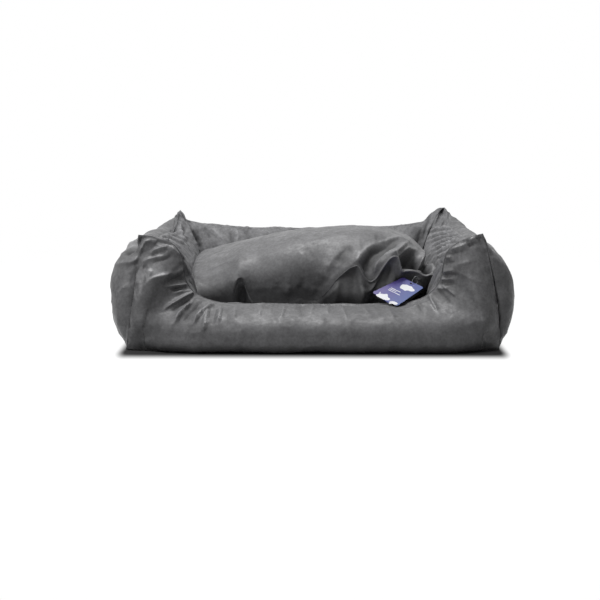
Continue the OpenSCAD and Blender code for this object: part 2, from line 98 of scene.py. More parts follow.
def bezier(c, t):
    """Points at the shares t of a cubic curve with the four control points c."""
    t = np.asarray(t)[..., None]
    a, b, d, e = (np.asarray(p, float) for p in c)
    return (1 - t) ** 3 * a + 3 * (1 - t) ** 2 * t * b + 3 * (1 - t) * t * t * d + t ** 3 * e


def lattice(cell, seed):
    """A repeatable value from -1 to 1 for each whole-numbered cell."""
    h = (cell[..., 0] * 73856093) ^ (cell[..., 1] * 19349663) ^ (cell[..., 2] * 83492791) ^ (seed * 2654435)
    h = ((h ^ (h >> 13)) * 1274126177) & 0xFFFFFFFF
    return ((h ^ (h >> 16)) & 0xFFFF) / 32767.5 - 1


def noise(q, seed):
    """Smooth noise from -1 to 1 at the points q, with cells one unit wide."""
    cell = np.floor(q).astype(np.int64)
    f = q - cell
    f = f * f * f * (f * (6 * f - 15) + 10)
    total = 0
    for corner in range(8):
        bits = np.array([corner & 1, corner >> 1 & 1, corner >> 2 & 1])
        weight = np.prod(np.where(bits, f, 1 - f), -1)
        total = total + weight * lattice(cell + bits, seed)
    return total


def crease(q, seed):
    """Noise with sharp crests, for crumpled cloth: mostly near 0 and up to 1 on a crest."""
    return (1 - np.abs(noise(q, seed))) ** 4


def flat_noise(a, b, seed):
    """Noise over two coordinates."""
    a, b = np.broadcast_arrays(a, b)
    return noise(np.stack([a, b, np.zeros_like(a)], -1), seed)


def relief(p, seed, *kinds):
    """Soft bumps at the points p: (height, size) of each kind."""
    return sum(height * noise(p / size, seed + i) for i, (height, size) in enumerate(kinds))


def puckers(away, run, height, reach, size, length, seed):
    """Short folds that leave a seam: away is the distance from it, run the length along it."""
    return height * bell(away, reach) * flat_noise(run / size, away / length, seed)


def to_picture(p):
    """Where points land in the picture, which is 600 by 600."""
    q = p - CAM_AT
    c, s = math.cos(CAM_YAW), math.sin(CAM_YAW)
    x, y, z = c * q[..., 0] + s * q[..., 1], -s * q[..., 0] + c * q[..., 1], q[..., 2]
    cp, sp = math.cos(CAM_PITCH), math.sin(CAM_PITCH)
    d = cp * y - sp * z
    return np.stack([PICTURE / 2 + CAM_F * x / d, PICTURE / 2 - CAM_F * (sp * y + cp * z) / d], -1)


# The steepness of a fold's and a hollow's sides
FOLD_EDGE, PIT_EDGE = 1.35, 5
# A fold fades at each end over this share of its path, down to this share of its height
FADE, END_HEIGHT = 0.25, 0.2


def stroke(uv, height, width, path, lean=0.0):
    """A fold drawn in the picture: its height in mm, its width and path in picture points.

    With lean, its right side seen along the path is the gentler one."""
    path = np.array(path, float)
    best = np.full(uv.shape[:-1], 1e9)
    along = np.zeros(uv.shape[:-1])
    side = np.zeros(uv.shape[:-1])
    steps = np.linalg.norm(np.diff(path, axis=0), axis=1)
    whole, gone = steps.sum(), 0.0
    for a, b, step in zip(path[:-1], path[1:], steps):
        k = np.clip(((uv - a) @ (b - a)) / step ** 2, 0, 1)
        away = np.linalg.norm(uv - a - k[..., None] * (b - a), axis=-1)
        nearer = away < best
        best = np.where(nearer, away, best)
        along = np.where(nearer, (gone + k * step) / whole, along)
        turn = (b - a)[0] * (uv - a)[..., 1] - (b - a)[1] * (uv - a)[..., 0]
        side = np.where(nearer, np.tanh(turn / step), side)
        gone += step
    taper = smooth(0, FADE, along) * smooth(0, FADE, 1 - along)
    width = width * (1 + lean * side)
    return height * np.exp(-(best / width) ** FOLD_EDGE) * lerp(END_HEIGHT, 1, taper)


def pit(uv, depth, centre, size):
    """A steep-sided hollow drawn in the picture: depth in mm, over an ellipse in picture points."""
    away = np.linalg.norm((uv - np.array(centre, float)) / size, axis=-1)
    return -depth * np.exp(-away ** PIT_EDGE)


# Meshes
# The least and most of the painted shade and painted highlight
PAINT_RANGE = (-1, 1.3)


def make_piece(name, form, material, body, replaced=(), painted_light=None):
    """A mesh piece that rides on its body and stands for the replaced nodes.

    form is its points and faces. The last argument is painted highlight and shade: how much paler or darker
    the colour is at each of the first points."""
    points, faces = form
    mesh = bpy.data.meshes.new(name)
    mesh.from_pydata((np.asarray(points) * MM).tolist(), [], faces)
    mesh.polygons.foreach_set("use_smooth", [True] * len(mesh.polygons))
    mesh.materials.append(material)
    # Painted highlight and shade, kept on the mesh for its material
    if painted_light is not None:
        shade = np.zeros(len(mesh.vertices), np.float32)
        shade[:painted_light.size] = np.clip(painted_light.ravel(), *PAINT_RANGE)
        mesh.attributes.new("painted_light", "FLOAT", "POINT").data.foreach_set("value", shade)
    obj = bpy.data.objects.new(name, mesh)
    bpy.context.scene.collection.objects.link(obj)
    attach(obj, body)
    if replaced:
        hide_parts(*replaced)
    return obj


def grid_faces(rows, cols, start=0, flip=False, wrap=False):
    """The faces of a grid of points. With wrap, each row's last point joins its first."""
    faces = []
    for r in range(rows - 1):
        for c in range(cols if wrap else cols - 1):
            d = (c + 1) % cols
            this, after = start + r * cols, start + (r + 1) * cols
            quad = (this + c, this + d, after + d, after + c)
            faces.append(quad[::-1] if flip else quad)
    return faces


def shell(outer, inner, wrap=False):
    """Points and faces of a closed skin between two grids of the same size."""
    rows, cols = outer.shape[:2]
    n = rows * cols
    faces = grid_faces(rows, cols, 0, False, wrap) + grid_faces(rows, cols, n, True, wrap)
    rims = [([r * cols + c for c in range(cols)] + ([r * cols] if wrap else []), r > 0)
            for r in (0, rows - 1)]
    if not wrap:
        rims += [([r * cols + c for r in range(rows)], c == 0) for c in (0, cols - 1)]
    for rim, turned in rims:
        for a, b in zip(rim[:-1], rim[1:]):
            quad = (b, a, n + a, n + b)
            faces.append(quad[::-1] if turned else quad)
    points = np.concatenate([outer.reshape(-1, 3), inner.reshape(-1, 3)])
    probe = points[[f[i] for f in faces for i in (0, 1, 2, 0, 2, 3)]].reshape(-1, 3, 3)
    volume = np.einsum("ij,ij->i", probe[:, 0], np.cross(probe[:, 1], probe[:, 2])).sum()
    return points, faces if volume > 0 else [f[::-1] for f in faces]


def normals(p, centre):
    """Unit normals of a grid, turned away from the centre point."""
    n = np.cross(np.gradient(p, axis=0), np.gradient(p, axis=1))
    n /= np.maximum(np.linalg.norm(n, axis=-1, keepdims=True), 1e-9)
    return n * np.sign((n * (p - centre)).sum())


def run_length(p, axis):
    """Length along a grid's lines, from its first point."""
    step = np.linalg.norm(np.diff(p, axis=axis), axis=-1)
    pad = [(0, 0), (0, 0)]
    pad[axis] = (1, 0)
    return np.pad(np.cumsum(step, axis=axis), pad)


def capped(rows, cols):
    """The faces of a closed body: rows of rings with cols points each, and a cap at both ends."""
    faces = grid_faces(rows, cols, wrap=True)
    return faces + [tuple(range(cols))[::-1], tuple((rows - 1) * cols + i for i in range(cols))]


# Roughly up, and along no cord
ASLANT = (0.13, 0.21, 1.0)


def tube(path, radius, sides=8):
    """Points and faces of a round cord along a path."""
    ahead = np.gradient(path, axis=0)
    ahead /= np.linalg.norm(ahead, axis=1, keepdims=True)
    side = np.cross(ahead, ASLANT)
    side /= np.linalg.norm(side, axis=1, keepdims=True)
    up = np.cross(side, ahead)
    a = np.linspace(0, 2 * math.pi, sides, endpoint=False)
    ring = np.cos(a)[None, :, None] * side[:, None] + np.sin(a)[None, :, None] * up[:, None]
    points = path[:, None] + np.reshape(radius, (-1, 1, 1)) * ring
    return points.reshape(-1, 3), capped(len(path), sides)


# Materials
def set_inputs(tree, node, inputs):
    """Sets each input to a number or a colour, or links it to a socket or to a node's first output."""
    for name, value in dict(inputs).items():
        if isinstance(value, bpy.types.Node):
            value = value.outputs[0]
        if isinstance(value, bpy.types.NodeSocket):
            tree.links.new(value, node.inputs[name])
        else:
            node.inputs[name].default_value = value


def add_node(tree, kind, inputs=(), **settings):
    """A shader node with its settings and inputs."""
    node = tree.nodes.new("ShaderNode" + kind)
    for name, value in settings.items():
        setattr(node, name, value)
    set_inputs(tree, node, inputs)
    return node


def link_math(tree, operation, *values):
    node = add_node(tree, "Math", enumerate(values), operation=operation)
    return node.outputs[0]


def link_vector(tree, operation, *values):
    node = add_node(tree, "VectorMath", enumerate(values), operation=operation)
    return node.outputs["Value" if operation == "LENGTH" else "Vector"]


def link_eased(tree, vector, span):
    """A smooth step from 0 to 1 as the vector's length grows over the span."""
    return add_node(tree, "MapRange", {"Value": link_vector(tree, "LENGTH", vector), **span},
                    interpolation_type="SMOOTHSTEP")


def new_material(name):
    mat = bpy.data.materials.new(name)
    mat.use_nodes = True
    return mat


def add_bump(tree, height, strength, depth):
    """Gives the tree's shader a bump of a depth in mm."""
    bump = add_node(tree, "Bump", {"Height": height, "Strength": strength, "Distance": depth * MM})
    set_inputs(tree, tree.nodes["Principled BSDF"], {"Normal": bump})


# Where the noise of a finish reaches its darkest and lightest tone
NOISE_SPAN = {"From Min": 0.35, "From Max": 0.65}
# How much the roughness falls from the dark spots to the pale ones, and between which tones
POLISH = 0.1
TONE_SPAN = {"From Min": 0.7, "From Max": 1.3}
GRAIN_STRENGTH = 0.6


def material(name, base, rough=0.6, metal=0.0, sheen=0.0, specular=0.5, patches=(), grain=None, painted_light_strength=0.0):
    """A finish. patches: (size in mm, darkest, lightest, detail) of each kind of spot.

    grain: (size in mm, bump in mm). The last argument is how strong the painted highlight on the crests of
    folds and the painted shade in creases are."""
    mat = new_material(name)
    tree = mat.node_tree
    bsdf = tree.nodes["Principled BSDF"]
    set_inputs(tree, bsdf, {"Base Color": (*base, 1), "Roughness": rough, "Metallic": metal,
                            "Sheen Weight": sheen, "Sheen Roughness": 0.5, "Specular IOR Level": specular})
    place = add_node(tree, "TexCoord").outputs["Object"]
    tone = None
    for size, dark, light, detail in patches:
        spots = add_node(tree, "TexNoise", {"Vector": place, "Scale": 1 / (size * MM), "Detail": detail,
                                            "Roughness": 0.6})
        layer = add_node(tree, "MapRange", {"Value": spots, **NOISE_SPAN, "To Min": dark, "To Max": light})
        tone = layer if tone is None else link_math(tree, "MULTIPLY", tone, layer)
    # Painted highlight and shade: paler colour on crests of folds, darker in creases, hollows and nooks
    if painted_light_strength:
        painted_tone = add_node(tree, "Attribute", attribute_name="painted_light").outputs["Fac"]
        tone = link_math(tree, "MULTIPLY", tone, link_math(tree, "MULTIPLY_ADD", painted_tone, painted_light_strength, 1.0))
    if tone is not None:
        colour = add_node(tree, "VectorMath", {0: base, "Scale": tone}, operation="SCALE")
        gloss = {"To Min": min(1, rough + POLISH), "To Max": max(0.05, rough - POLISH)}
        polish = add_node(tree, "MapRange", {"Value": tone, **TONE_SPAN, **gloss})
        set_inputs(tree, bsdf, {"Base Color": colour, "Roughness": polish})
    if grain:
        size, depth = grain
        fine = add_node(tree, "TexVoronoi", {"Vector": place, "Scale": 1 / (size * MM)})
        add_bump(tree, fine, GRAIN_STRENGTH, depth)
    return mat


GREY = (0.132, 0.132, 0.136)
NUBUCK_PATCHES = ((52, 0.88, 1.12, 3), (19, 0.87, 1.13, 4), (6, 0.86, 1.14, 3))
# How strongly the painted highlight and shade show on the nubuck
NUBUCK_PAINTED_LIGHT = 0.55
cover = material("nubuck_cover", GREY, 0.52, sheen=0.04, patches=NUBUCK_PATCHES,
                 grain=(1.4, 0.22), painted_light_strength=NUBUCK_PAINTED_LIGHT)
# The inner panels' and floor's nubuck: lighter than the cover's, partly its own tone and partly painted
# light for the light that falls inside
lining = material("nubuck_lining", tuple(1.4 * c for c in GREY), 0.64, sheen=0.04, specular=0.3,
                  patches=NUBUCK_PATCHES, grain=(1.3, 0.2), painted_light_strength=NUBUCK_PAINTED_LIGHT)
under = material("underside_cloth", (0.035, 0.035, 0.036), 0.85, patches=((30, 0.8, 1.2, 3),),
                 grain=(2.5, 0.5))
fleece = material("stuffing_fibre", (0.75, 0.74, 0.71), 0.95, sheen=0.3, patches=((18, 0.9, 1.08, 5),),
                  grain=(4, 2.5))
tape = material("zip_tape_weave", (0.06, 0.06, 0.063), 0.8, patches=((3, 0.85, 1.15, 2),),
                grain=(0.8, 0.25))
metal = material("zip_nickel", (0.55, 0.55, 0.56), 0.28, metal=1.0, patches=((6, 0.85, 1.1, 4),),
                 grain=(0.6, 0.03))
clear = material("clear_loop_plastic", (0.8, 0.82, 0.85), 0.12, specular=0.6)
set_inputs(clear.node_tree, clear.node_tree.nodes["Principled BSDF"],
           {"Transmission Weight": 0.85, "IOR": 1.46})

# The print of the hang cards, from their hole down. Clouds: centre and radii. Bars: x and y ranges
CARD_W = 64
CARD_TINTS = ((0.085, 0.062, 0.26, 1), (0.042, 0.085, 0.30, 1))
CARD_WHITE = (0.86, 0.87, 0.9, 1)
CLOUDS = [(6, -20, 19, 11), (-16, -82, 17, 12), (17, -86, 9, 7)]
CLOUD_RIPPLE, CLOUD_WOBBLE = 11, 1.1
BARS = [(-24, 4, -44, -42), (-24, -4, -49, -47), (-24, 10, -54, -52)]
PAPER_GRAIN = 0.9


def card_material(name, place_at):
    """A printed card: violet to blue across it, with three pale clouds and three short bars."""
    mat = new_material(name)
    tree = mat.node_tree
    bsdf = tree.nodes["Principled BSDF"]
    place = add_node(tree, "TexCoord", object=place_at).outputs["Object"]
    x, y = add_node(tree, "SeparateXYZ", {0: place}).outputs[:2]

    def calc(operation, *values):
        return link_math(tree, operation, *values)

    ground = add_node(tree, "ValToRGB", {0: calc("MULTIPLY_ADD", x, 1 / (CARD_W * MM), 0.5)})
    for stop, tint in zip(ground.color_ramp.elements, CARD_TINTS):
        stop.color = tint
    ripple = add_node(tree, "TexNoise", {"Vector": place, "Scale": 1 / (CLOUD_RIPPLE * MM), "Detail": 0})
    wobble = calc("MULTIPLY", calc("SUBTRACT", ripple, 0.5), CLOUD_WOBBLE * MM)

    def cloud(cx, cy, rx, ry):
        dx = calc("DIVIDE", calc("SUBTRACT", x, cx * MM), rx)
        dy = calc("DIVIDE", calc("SUBTRACT", y, cy * MM), ry)
        far = calc("SQRT", calc("ADD", calc("POWER", dx, 2.0), calc("POWER", dy, 2.0)))
        return calc("LESS_THAN", calc("ADD", far, wobble), MM)

    def within(value, low, high):
        return calc("MULTIPLY", calc("GREATER_THAN", value, low * MM), calc("LESS_THAN", value, high * MM))

    shapes = [cloud(*shape) for shape in CLOUDS]
    shapes += [calc("MULTIPLY", within(x, x0, x1), within(y, y0, y1)) for x0, x1, y0, y1 in BARS]
    pale = shapes[0]
    for shape in shapes[1:]:
        pale = calc("MAXIMUM", pale, shape)
    mix = add_node(tree, "Mix", {0: pale, 6: ground, 7: CARD_WHITE}, data_type="RGBA")
    set_inputs(tree, bsdf, {"Base Color": mix.outputs[2], "Roughness": 0.35})
    paper = add_node(tree, "TexNoise", {"Vector": place, "Scale": 1 / (PAPER_GRAIN * MM)})
    add_bump(tree, paper, 0.15, 0.05)
    return mat


# The bolsters
# The entry's edge, in shares of the half length: level, then a climb, then the post up to the ear
LEVEL_TO, CLIMB_TO = 0.3, 0.62
# How far the handles of its curves reach, out and up
CLIMB_START, CLIMB_END = 66, (5, 53)
POST_START, POST_END = (4, 14), (42, 16)
# How steeply the ears rise. The back's right one is the steepest
EAR_SHARP, BACK_EAR_SHARP = 16, 40


def front_edge(q):
    """The front's ridge at the shares q: distance from the middle, and height."""
    entry = [(ENTRY_FLAT, ENTRY_H), (ENTRY_FLAT + CLIMB_START, ENTRY_H),
             (ENTRY_HALF - CLIMB_END[0], POST_Z - CLIMB_END[1]), (ENTRY_HALF, POST_Z)]
    post = [(ENTRY_HALF, POST_Z), (ENTRY_HALF + POST_START[0], EAR_H - POST_START[1]),
            (HALF_W - EAR_IN - POST_END[0], EAR_H - POST_END[1]), (HALF_W - EAR_IN, EAR_H)]
    level = np.stack([ENTRY_FLAT * q / LEVEL_TO, np.full_like(q, ENTRY_H)], -1)
    climbing = bezier(entry, np.clip((q - LEVEL_TO) / (CLIMB_TO - LEVEL_TO), 0, 1))
    rising = bezier(post, np.clip((q - CLIMB_TO) / (1 - CLIMB_TO), 0, 1))
    q = q[..., None]
    return np.where(q < LEVEL_TO, level, np.where(q < CLIMB_TO, climbing, rising))


def ridge(name, s):
    """A wall's ridge: place along it as a share, distance out from the wall's line, and height."""
    half, top, lean = WALLS[name][:3]
    q = np.abs(s)
    out = -EAR_IN + (EAR_IN - lean) * (1 - q ** 4)
    if name == "front":
        edge = front_edge(q)
        return np.sign(s) * edge[..., 0] / (half + out), out, edge[..., 1]
    sharp = np.where((name == "back") & (s >= 0), BACK_EAR_SHARP, EAR_SHARP)
    return s, out, top + (EAR_H - EAR_TIP - top) * q ** 3 + EAR_TIP * q ** sharp


# How far the front's feet spread from its ridge's shares, outside and inside
SPREAD_OUT, SPREAD_IN = 1.15, 1.8
# The outer bulge: how much wider its handles reach than the cloth, and how far they reach at the ears
BULGE_GAIN, END_REACH = 1.1 / 0.75, 6.6
# Shares of the height: the outer handles' low end, the puff at the ears, the inner handles' drop and rise
LOW_HANDLE, END_PUFF, INNER_DROP, TOE_RISE = 0.3, -0.1, 0.1, 0.46
RIGHT_PUFF = 0.05
# At the ears the inner handles reach this far in from the ridge, and out from the toe
END_INNER, END_TOE = 45, 30
TOE_BULGE = -0.35
TUCK_SHARE = 0.8


def foot_share(name, s, spread):
    """Where the floor seam lies along a wall, as a share."""
    if name != "front":
        return s
    return np.sign(s) * (1 - (1 - np.abs(ridge(name, s)[0])) ** spread)


def beside(turn, along, out, up):
    """Where a place on a wall is in the basket: along the wall, out of its line and up."""
    a = math.radians(turn)
    out = out + (HALF_D if turn in (0, 180) else HALF_W)
    return np.stack([along * math.cos(a) + out * math.sin(a),
                     along * math.sin(a) - out * math.cos(a), up], -1)


def wall_points(name, s, t, inset=0.0):
    """A bolster's skin: s runs from ear to ear, t is 0 at the outer foot, 1 at the ridge, 2 inside."""
    half, _, lean, bulge, inner, bow, puff, full, turn = WALLS[name]
    mid = 1 - np.abs(foot_share(name, s, SPREAD_OUT)) ** full
    share_top, top_out, top_z = ridge(name, s)
    rise = top_z - FLOOR_Z
    reach = (bulge + (lean - bow) / 2) * mid * BULGE_GAIN + END_REACH
    tuck = TUCK_SHARE * inset
    puffed = lerp(END_PUFF, puff, mid)
    if name == "right":
        puffed = puffed + RIGHT_PUFF * smooth(-0.35, 0.5, s) * mid

    def point(out, up):
        return np.stack(np.broadcast_arrays(out, up), -1)

    foot, crest, toe = point(bow * mid, FLOOR_Z), point(top_out, top_z), point(-BOLSTER_T, FLOOR_Z + 0 * s)
    c = [foot + point(-inset, 0),
         foot + point(reach - inset, rise * LOW_HANDLE),
         crest + point(reach - tuck, rise * puffed - tuck),
         crest + point(0, -2 * tuck),
         crest + point(tuck - lerp(END_INNER, inner + INNER_DROP * rise, mid), -INNER_DROP * rise - tuck),
         toe + point(inset + lerp(END_TOE, TOE_BULGE * inner, mid), TOE_RISE * rise),
         toe + point(inset, 0)]
    low = t <= 1
    handles = [np.where(low[..., None], c[i], c[i + 3]) for i in range(4)]
    p = bezier(handles, np.where(low, t, t - 1))
    foot_at = np.where(low, foot_share(name, s, SPREAD_OUT), foot_share(name, s, SPREAD_IN))
    along = lerp(foot_at, share_top, np.where(low, t, 2 - t)) * (half + p[..., 0])
    return beside(turn, along, p[..., 0], p[..., 1])


# Folds seen in the photograph, as stroke() takes them: height in mm, width and path in picture points,
# and for some the lean. First the pleats that fan out from the entry's edge
SCOOP_PLEATS = [
    (4.5, 1.7, [(174, 303), (163, 310)], 0.45), (4.5, 1.7, [(185, 312), (175, 323)], 0.45),
    (4, 1.7, [(204, 313), (195, 321)], 0.45), (4.5, 1.7, [(209, 321), (202, 332)], 0.45),
    (8.8, 1.6, [(195, 293), (184, 297), (171, 305)], 0.45),
    (10.8, 1.7, [(191.5, 302.5), (184, 310), (176, 322.5)], 0.45),
    (10.8, 1.7, [(214, 304.5), (203, 313), (193, 325)], 0.45),
    (8.8, 1.6, [(209, 309), (206, 320), (203, 331)], 0.45), (7.4, 1.5, [(221.5, 307), (218.5, 325)], 0.45),
    (3.5, 1.7, [(236, 306), (234, 321)], 0.3), (-5.4, 2, [(191, 298.5), (180, 305), (170, 313)]),
    (-6.1, 2.2, [(202, 303), (191, 313), (183, 325)]), (-4.7, 1.8, [(212, 312), (201, 329)]),
    (-4.1, 1.8, [(216.5, 308), (212, 327)]), (-2.7, 1.8, [(228, 306), (227, 322)]),
    (4.1, 1.7, [(197, 287.5), (186, 288.5), (176, 292)], 0.4), (4.1, 1.6, [(441, 284), (457, 297)], -0.4),
    (-3.1, 1.7, [(437, 288), (452, 305)]), (3.5, 1.7, [(427, 292), (438, 313)], -0.4),
    (-2.7, 1.8, [(416, 297), (424, 315)]), (3, 1.5, [(262, 306), (259, 317)], 0.4),
    (1.9, 1.4, [(272, 305), (270, 314)], 0.4), (3.2, 1.5, [(285, 306), (281, 320)], 0.4),
    (1.8, 1.3, [(296, 305), (293, 312)], 0.4), (2.4, 1.7, [(314, 305), (310, 316)], 0.4),
    (3.2, 1.6, [(341, 305), (346, 321)], -0.4), (1.9, 1.7, [(327, 305), (328, 314)], 0.3),
    (2.2, 1.8, [(362, 304), (368, 316)], -0.3), (2.4, 2, [(386, 306), (394, 322)], -0.3),
    (-2.2, 2.2, [(301, 306), (303, 318)]),
]
# Folds of the front's two posts
POST_FOLDS = [
    (8, 3.2, [(149, 253), (157, 250), (168, 247)], 0.4), (-3.4, 2, [(149, 256), (158, 253.5), (167, 251)]),
    (5, 2.4, [(139, 261), (150, 259.5), (163, 257)], 0.3),
    (-2.6, 2.2, [(150, 263.5), (160, 261), (170, 257)]), (3.4, 2, [(143, 270), (152, 274)], 0.2),
    (7, 2.8, [(147, 281), (156, 277.5), (166, 274)], 0.4), (-6, 2.6, [(164, 283), (174, 279), (190, 277)]),
    (4.5, 1.5, [(161, 287), (176, 285.5), (191, 284)], 0.3),
    (-5.5, 1.6, [(168, 290), (180, 289), (193, 287.5)]), (3.2, 1.6, [(170, 293.5), (194, 290.5)], 0.3),
    (-7, 2.2, [(143.5, 236), (139, 243), (131, 252)]), (4, 2, [(146, 238), (142, 246), (136, 254)], 0.2),
    (3.2, 2.6, [(168, 249), (180, 257)]), (-3, 2.4, [(140, 266), (147, 268)]),
    (3.4, 1.7, [(441, 259), (452, 257)], -0.3), (-2.6, 1.7, [(442, 264), (456, 262)]),
    (3.6, 1.6, [(441, 272.5), (455, 270)], -0.3), (-3.8, 1.6, [(440, 276.5), (458, 274.5)]),
    (3.6, 1.6, [(439, 280), (455, 278.5)], -0.3), (-3.8, 1.6, [(438, 284.5), (454, 283.5)]),
    (3.4, 1.6, [(436, 289), (450, 289)], -0.3), (3, 2.4, [(450, 250), (466, 245)]),
    (-2.8, 2.6, [(448, 255), (466, 251)]), (2.6, 2.6, [(456, 265), (472, 261)]),
    (3, 2, [(470, 240), (480, 236)]), (-3.2, 1.8, [(468, 246), (476, 243)]),
    (3, 2, [(118, 322), (126, 333)], 0.3), (-3, 2.2, [(121, 316), (129, 328)]),
    (6.5, 9, [(144, 276), (164, 274)]),
]
# Folds of the left wall's outer panel, and of the back wall's inner one
LEFT_SIDE_FOLDS = [
    (-9, 3, [(138, 242), (131, 249), (121, 255)]), (6, 1.8, [(134, 240), (125, 245), (117, 253)]),
    (4, 1.8, [(139, 257), (128, 261.5), (114, 264)], 0.3), (-3, 2.2, [(136, 262), (120, 268)]),
    (3, 1.6, [(121, 284), (116, 292)]), (3.5, 1.6, [(113, 314), (117, 325), (122, 337)], 0.3),
]
BACK_FOLDS = [
    (6, 2, [(236, 229), (238, 237), (236, 246)]), (-5, 2, [(231, 230), (232, 246)]),
    (-4, 2.4, [(245, 229), (250, 241)]), (3, 2.4, [(212, 227), (222, 240)]),
    (-3, 2.6, [(203, 226), (210, 240)]), (3, 2.6, [(262, 229), (268, 236)]),
    (-9, 3, [(191, 226), (196, 238), (200, 250)]), (-9, 4, [(421, 226), (419, 240), (416, 250)]),
    (-6, 1.2, [(430, 217), (426, 226), (423.5, 237)]),
]
# Folds below the back ears, on the side walls' inner panels
EAR_FOLDS = [
    (-12, 1.8, [(179, 214), (174, 221), (173.5, 226), (169, 232)]),
    (6.3, 1.8, [(181, 219), (179, 229), (186, 240)]), (-6, 1.6, [(184, 223), (183, 233), (190, 243)]),
    (-9, 2.6, [(437, 213.5), (445, 213.5)]), (-4.5, 1, [(447, 215), (452, 222), (457, 229), (464, 239)]),
    (5.5, 1.2, [(432, 216), (436, 212.5), (441, 210)]),
]
# Long parallel wrinkles of the side walls' inner panels: each is a crest with a furrow just below it
LONG_WRINKLES = [
    [(428, 232), (436, 229), (452, 226.5)], [(427, 238), (440, 233.5), (462, 229)],
    [(427, 242), (441, 236.5), (467, 232)], [(429, 247), (441, 241), (466, 235)],
    [(431, 250.5), (442, 245), (463, 238.5)], [(434, 254), (443, 249), (455, 243)],
    [(437, 258), (446, 252)], [(158, 233), (172, 236.5), (184, 243), (191, 251)],
    [(163, 230), (176, 233.5), (187, 240), (193, 249)], [(154, 236.5), (170, 240), (181, 247), (188, 256)],
    [(170, 228), (180, 231), (190, 238)],
]
WRINKLE_H, FURROW_H, WRINKLE_W, FURROW = 5.5, -5.0, 1.0, (0.4, 1.6)
for crest in LONG_WRINKLES:
    EAR_FOLDS += [(WRINKLE_H, WRINKLE_W, crest, 0.3),
                  (FURROW_H, WRINKLE_W, [np.add(FURROW, point) for point in crest])]
# Pulls at the ears, corners and shoulders, shared by the panels that meet there:
# centre, reach and move in mm
EAR_PULLS = [
    ((-374, -276, 256), 22, (-8, 0, -4)), ((-390, -250, 236), 26, (0, 0, 2)),
    ((-430, -190, 205), 50, (10, 0, -16)), ((-405, -305, 70), 45, (11, -19, 0)),
    ((-402, -302, 140), 45, (11, -19, 0)), ((-395, -295, 200), 30, (6, -8, 0)),
    ((-325, -310, 225), 55, (0, 13, 0)), ((-285, -305, 195), 36, (19, 0, 2)),
    ((-262, -310, 150), 27, (11, 0, 0)), ((236, -305, 112), 22, (-3, 0, 7)),
    ((374, -276, 256), 16, (-3, 0, 0)), ((430, -200, 205), 50, (-7, 0, -12)),
    ((374, 276, 256), 20, (2, 0, -4)), ((352, 276, 230), 34, (0, 0, 10)), ((395, 255, 240), 32, (4, 0, 6)),
    ((342, 276, 230), 15, (0, 0, 8)), ((322, 276, 215), 15, (0, 0, -5)), ((362, 276, 246), 13, (0, 0, 6)),
    ((386, 262, 246), 16, (3, 0, 6)), ((401, 250, 238), 16, (3, 0, 11)), ((412, 230, 234), 26, (5, 0, 7)),
    ((-374, 276, 256), 15, (4, 0, -3)), ((-386, 268, 250), 15, (0, 0, 7)),
    ((-395, 262, 242), 20, (0, 0, 13)), ((-405, 235, 236), 26, (0, 0, 5)),
    ((-412, 185, 228), 72, (5, 0, -11)),
]
EARS = [(x, y, 245) for x in (-374, 374) for y in (-276, 276)]
EAR_SPREAD, EAR_REACH = 0.7, 18
# The height in mm at which a fold's crest gets its full painted highlight, and a crease its full painted
# shade
FULL_PAINT_FOLD = 7.0
# A height inside the bolsters, from which their cloth faces away
MIDDLE_H = 60
# Height, reach, size and length in mm of the puckers along the ridge, the corner seams and the foot
RIDGE_PUCKERS, END_PUCKERS, FOOT_PUCKERS = (2.4, 32, 11, 60), (2.2, 28, 11, 50), (1.3, 22, 13, 50)
# Height and size of the cloth's soft bumps, its crumples and its finest bumps, in mm
WALL_BUMPS, CRUMPLE, FINE_BUMPS = ((2.0, 90), (1.2, 36)), (1.6, (60, 60, 44)), (0.35, 8)
# How low the front's cloth sags: height in mm of each swell, where it stands over the floor, its reach
FRONT_SWELLS = ((5, 70, 18), (-3, 40, 16), (3, 8, 16))
# Fine folds that fan down from the ridge inside: their height on a side wall and elsewhere, and on a side
# wall the painted highlight on their crests and the painted shade in their creases
SIDE_FAN, OTHER_FAN, FAN_PAINT = 3.5, 1.0, 0.22
# Depth of the corner seams, and of the flat one at the front left corner, their reach in mm, and the painted
# shade in their grooves
SEAM_GROOVE, FLAT_GROOVE, GROOVE_REACH, GROOVE_SHADE = 2.4, 0.2, 3.0, 0.22
# Painted highlight along the ridge: its strength, and its reach in mm
RIDGE_HIGHLIGHT, RIDGE_HIGHLIGHT_REACH = 0.3, 3.5
HEM_H, HEM_REACH, WAVE_REACH = 1.8, 3.2, 16
RIDGE_WAVES = ((1.6, 30, 71), (1.6, 30, 72), (1.8, 34, 73))


def folds_of(name, outside):
    """The drawn folds of a panel."""
    if outside:
        return {"front": SCOOP_PLEATS + POST_FOLDS, "left": LEFT_SIDE_FOLDS}.get(name, [])
    return {"back": BACK_FOLDS, "left": EAR_FOLDS, "right": EAR_FOLDS}.get(name, [])


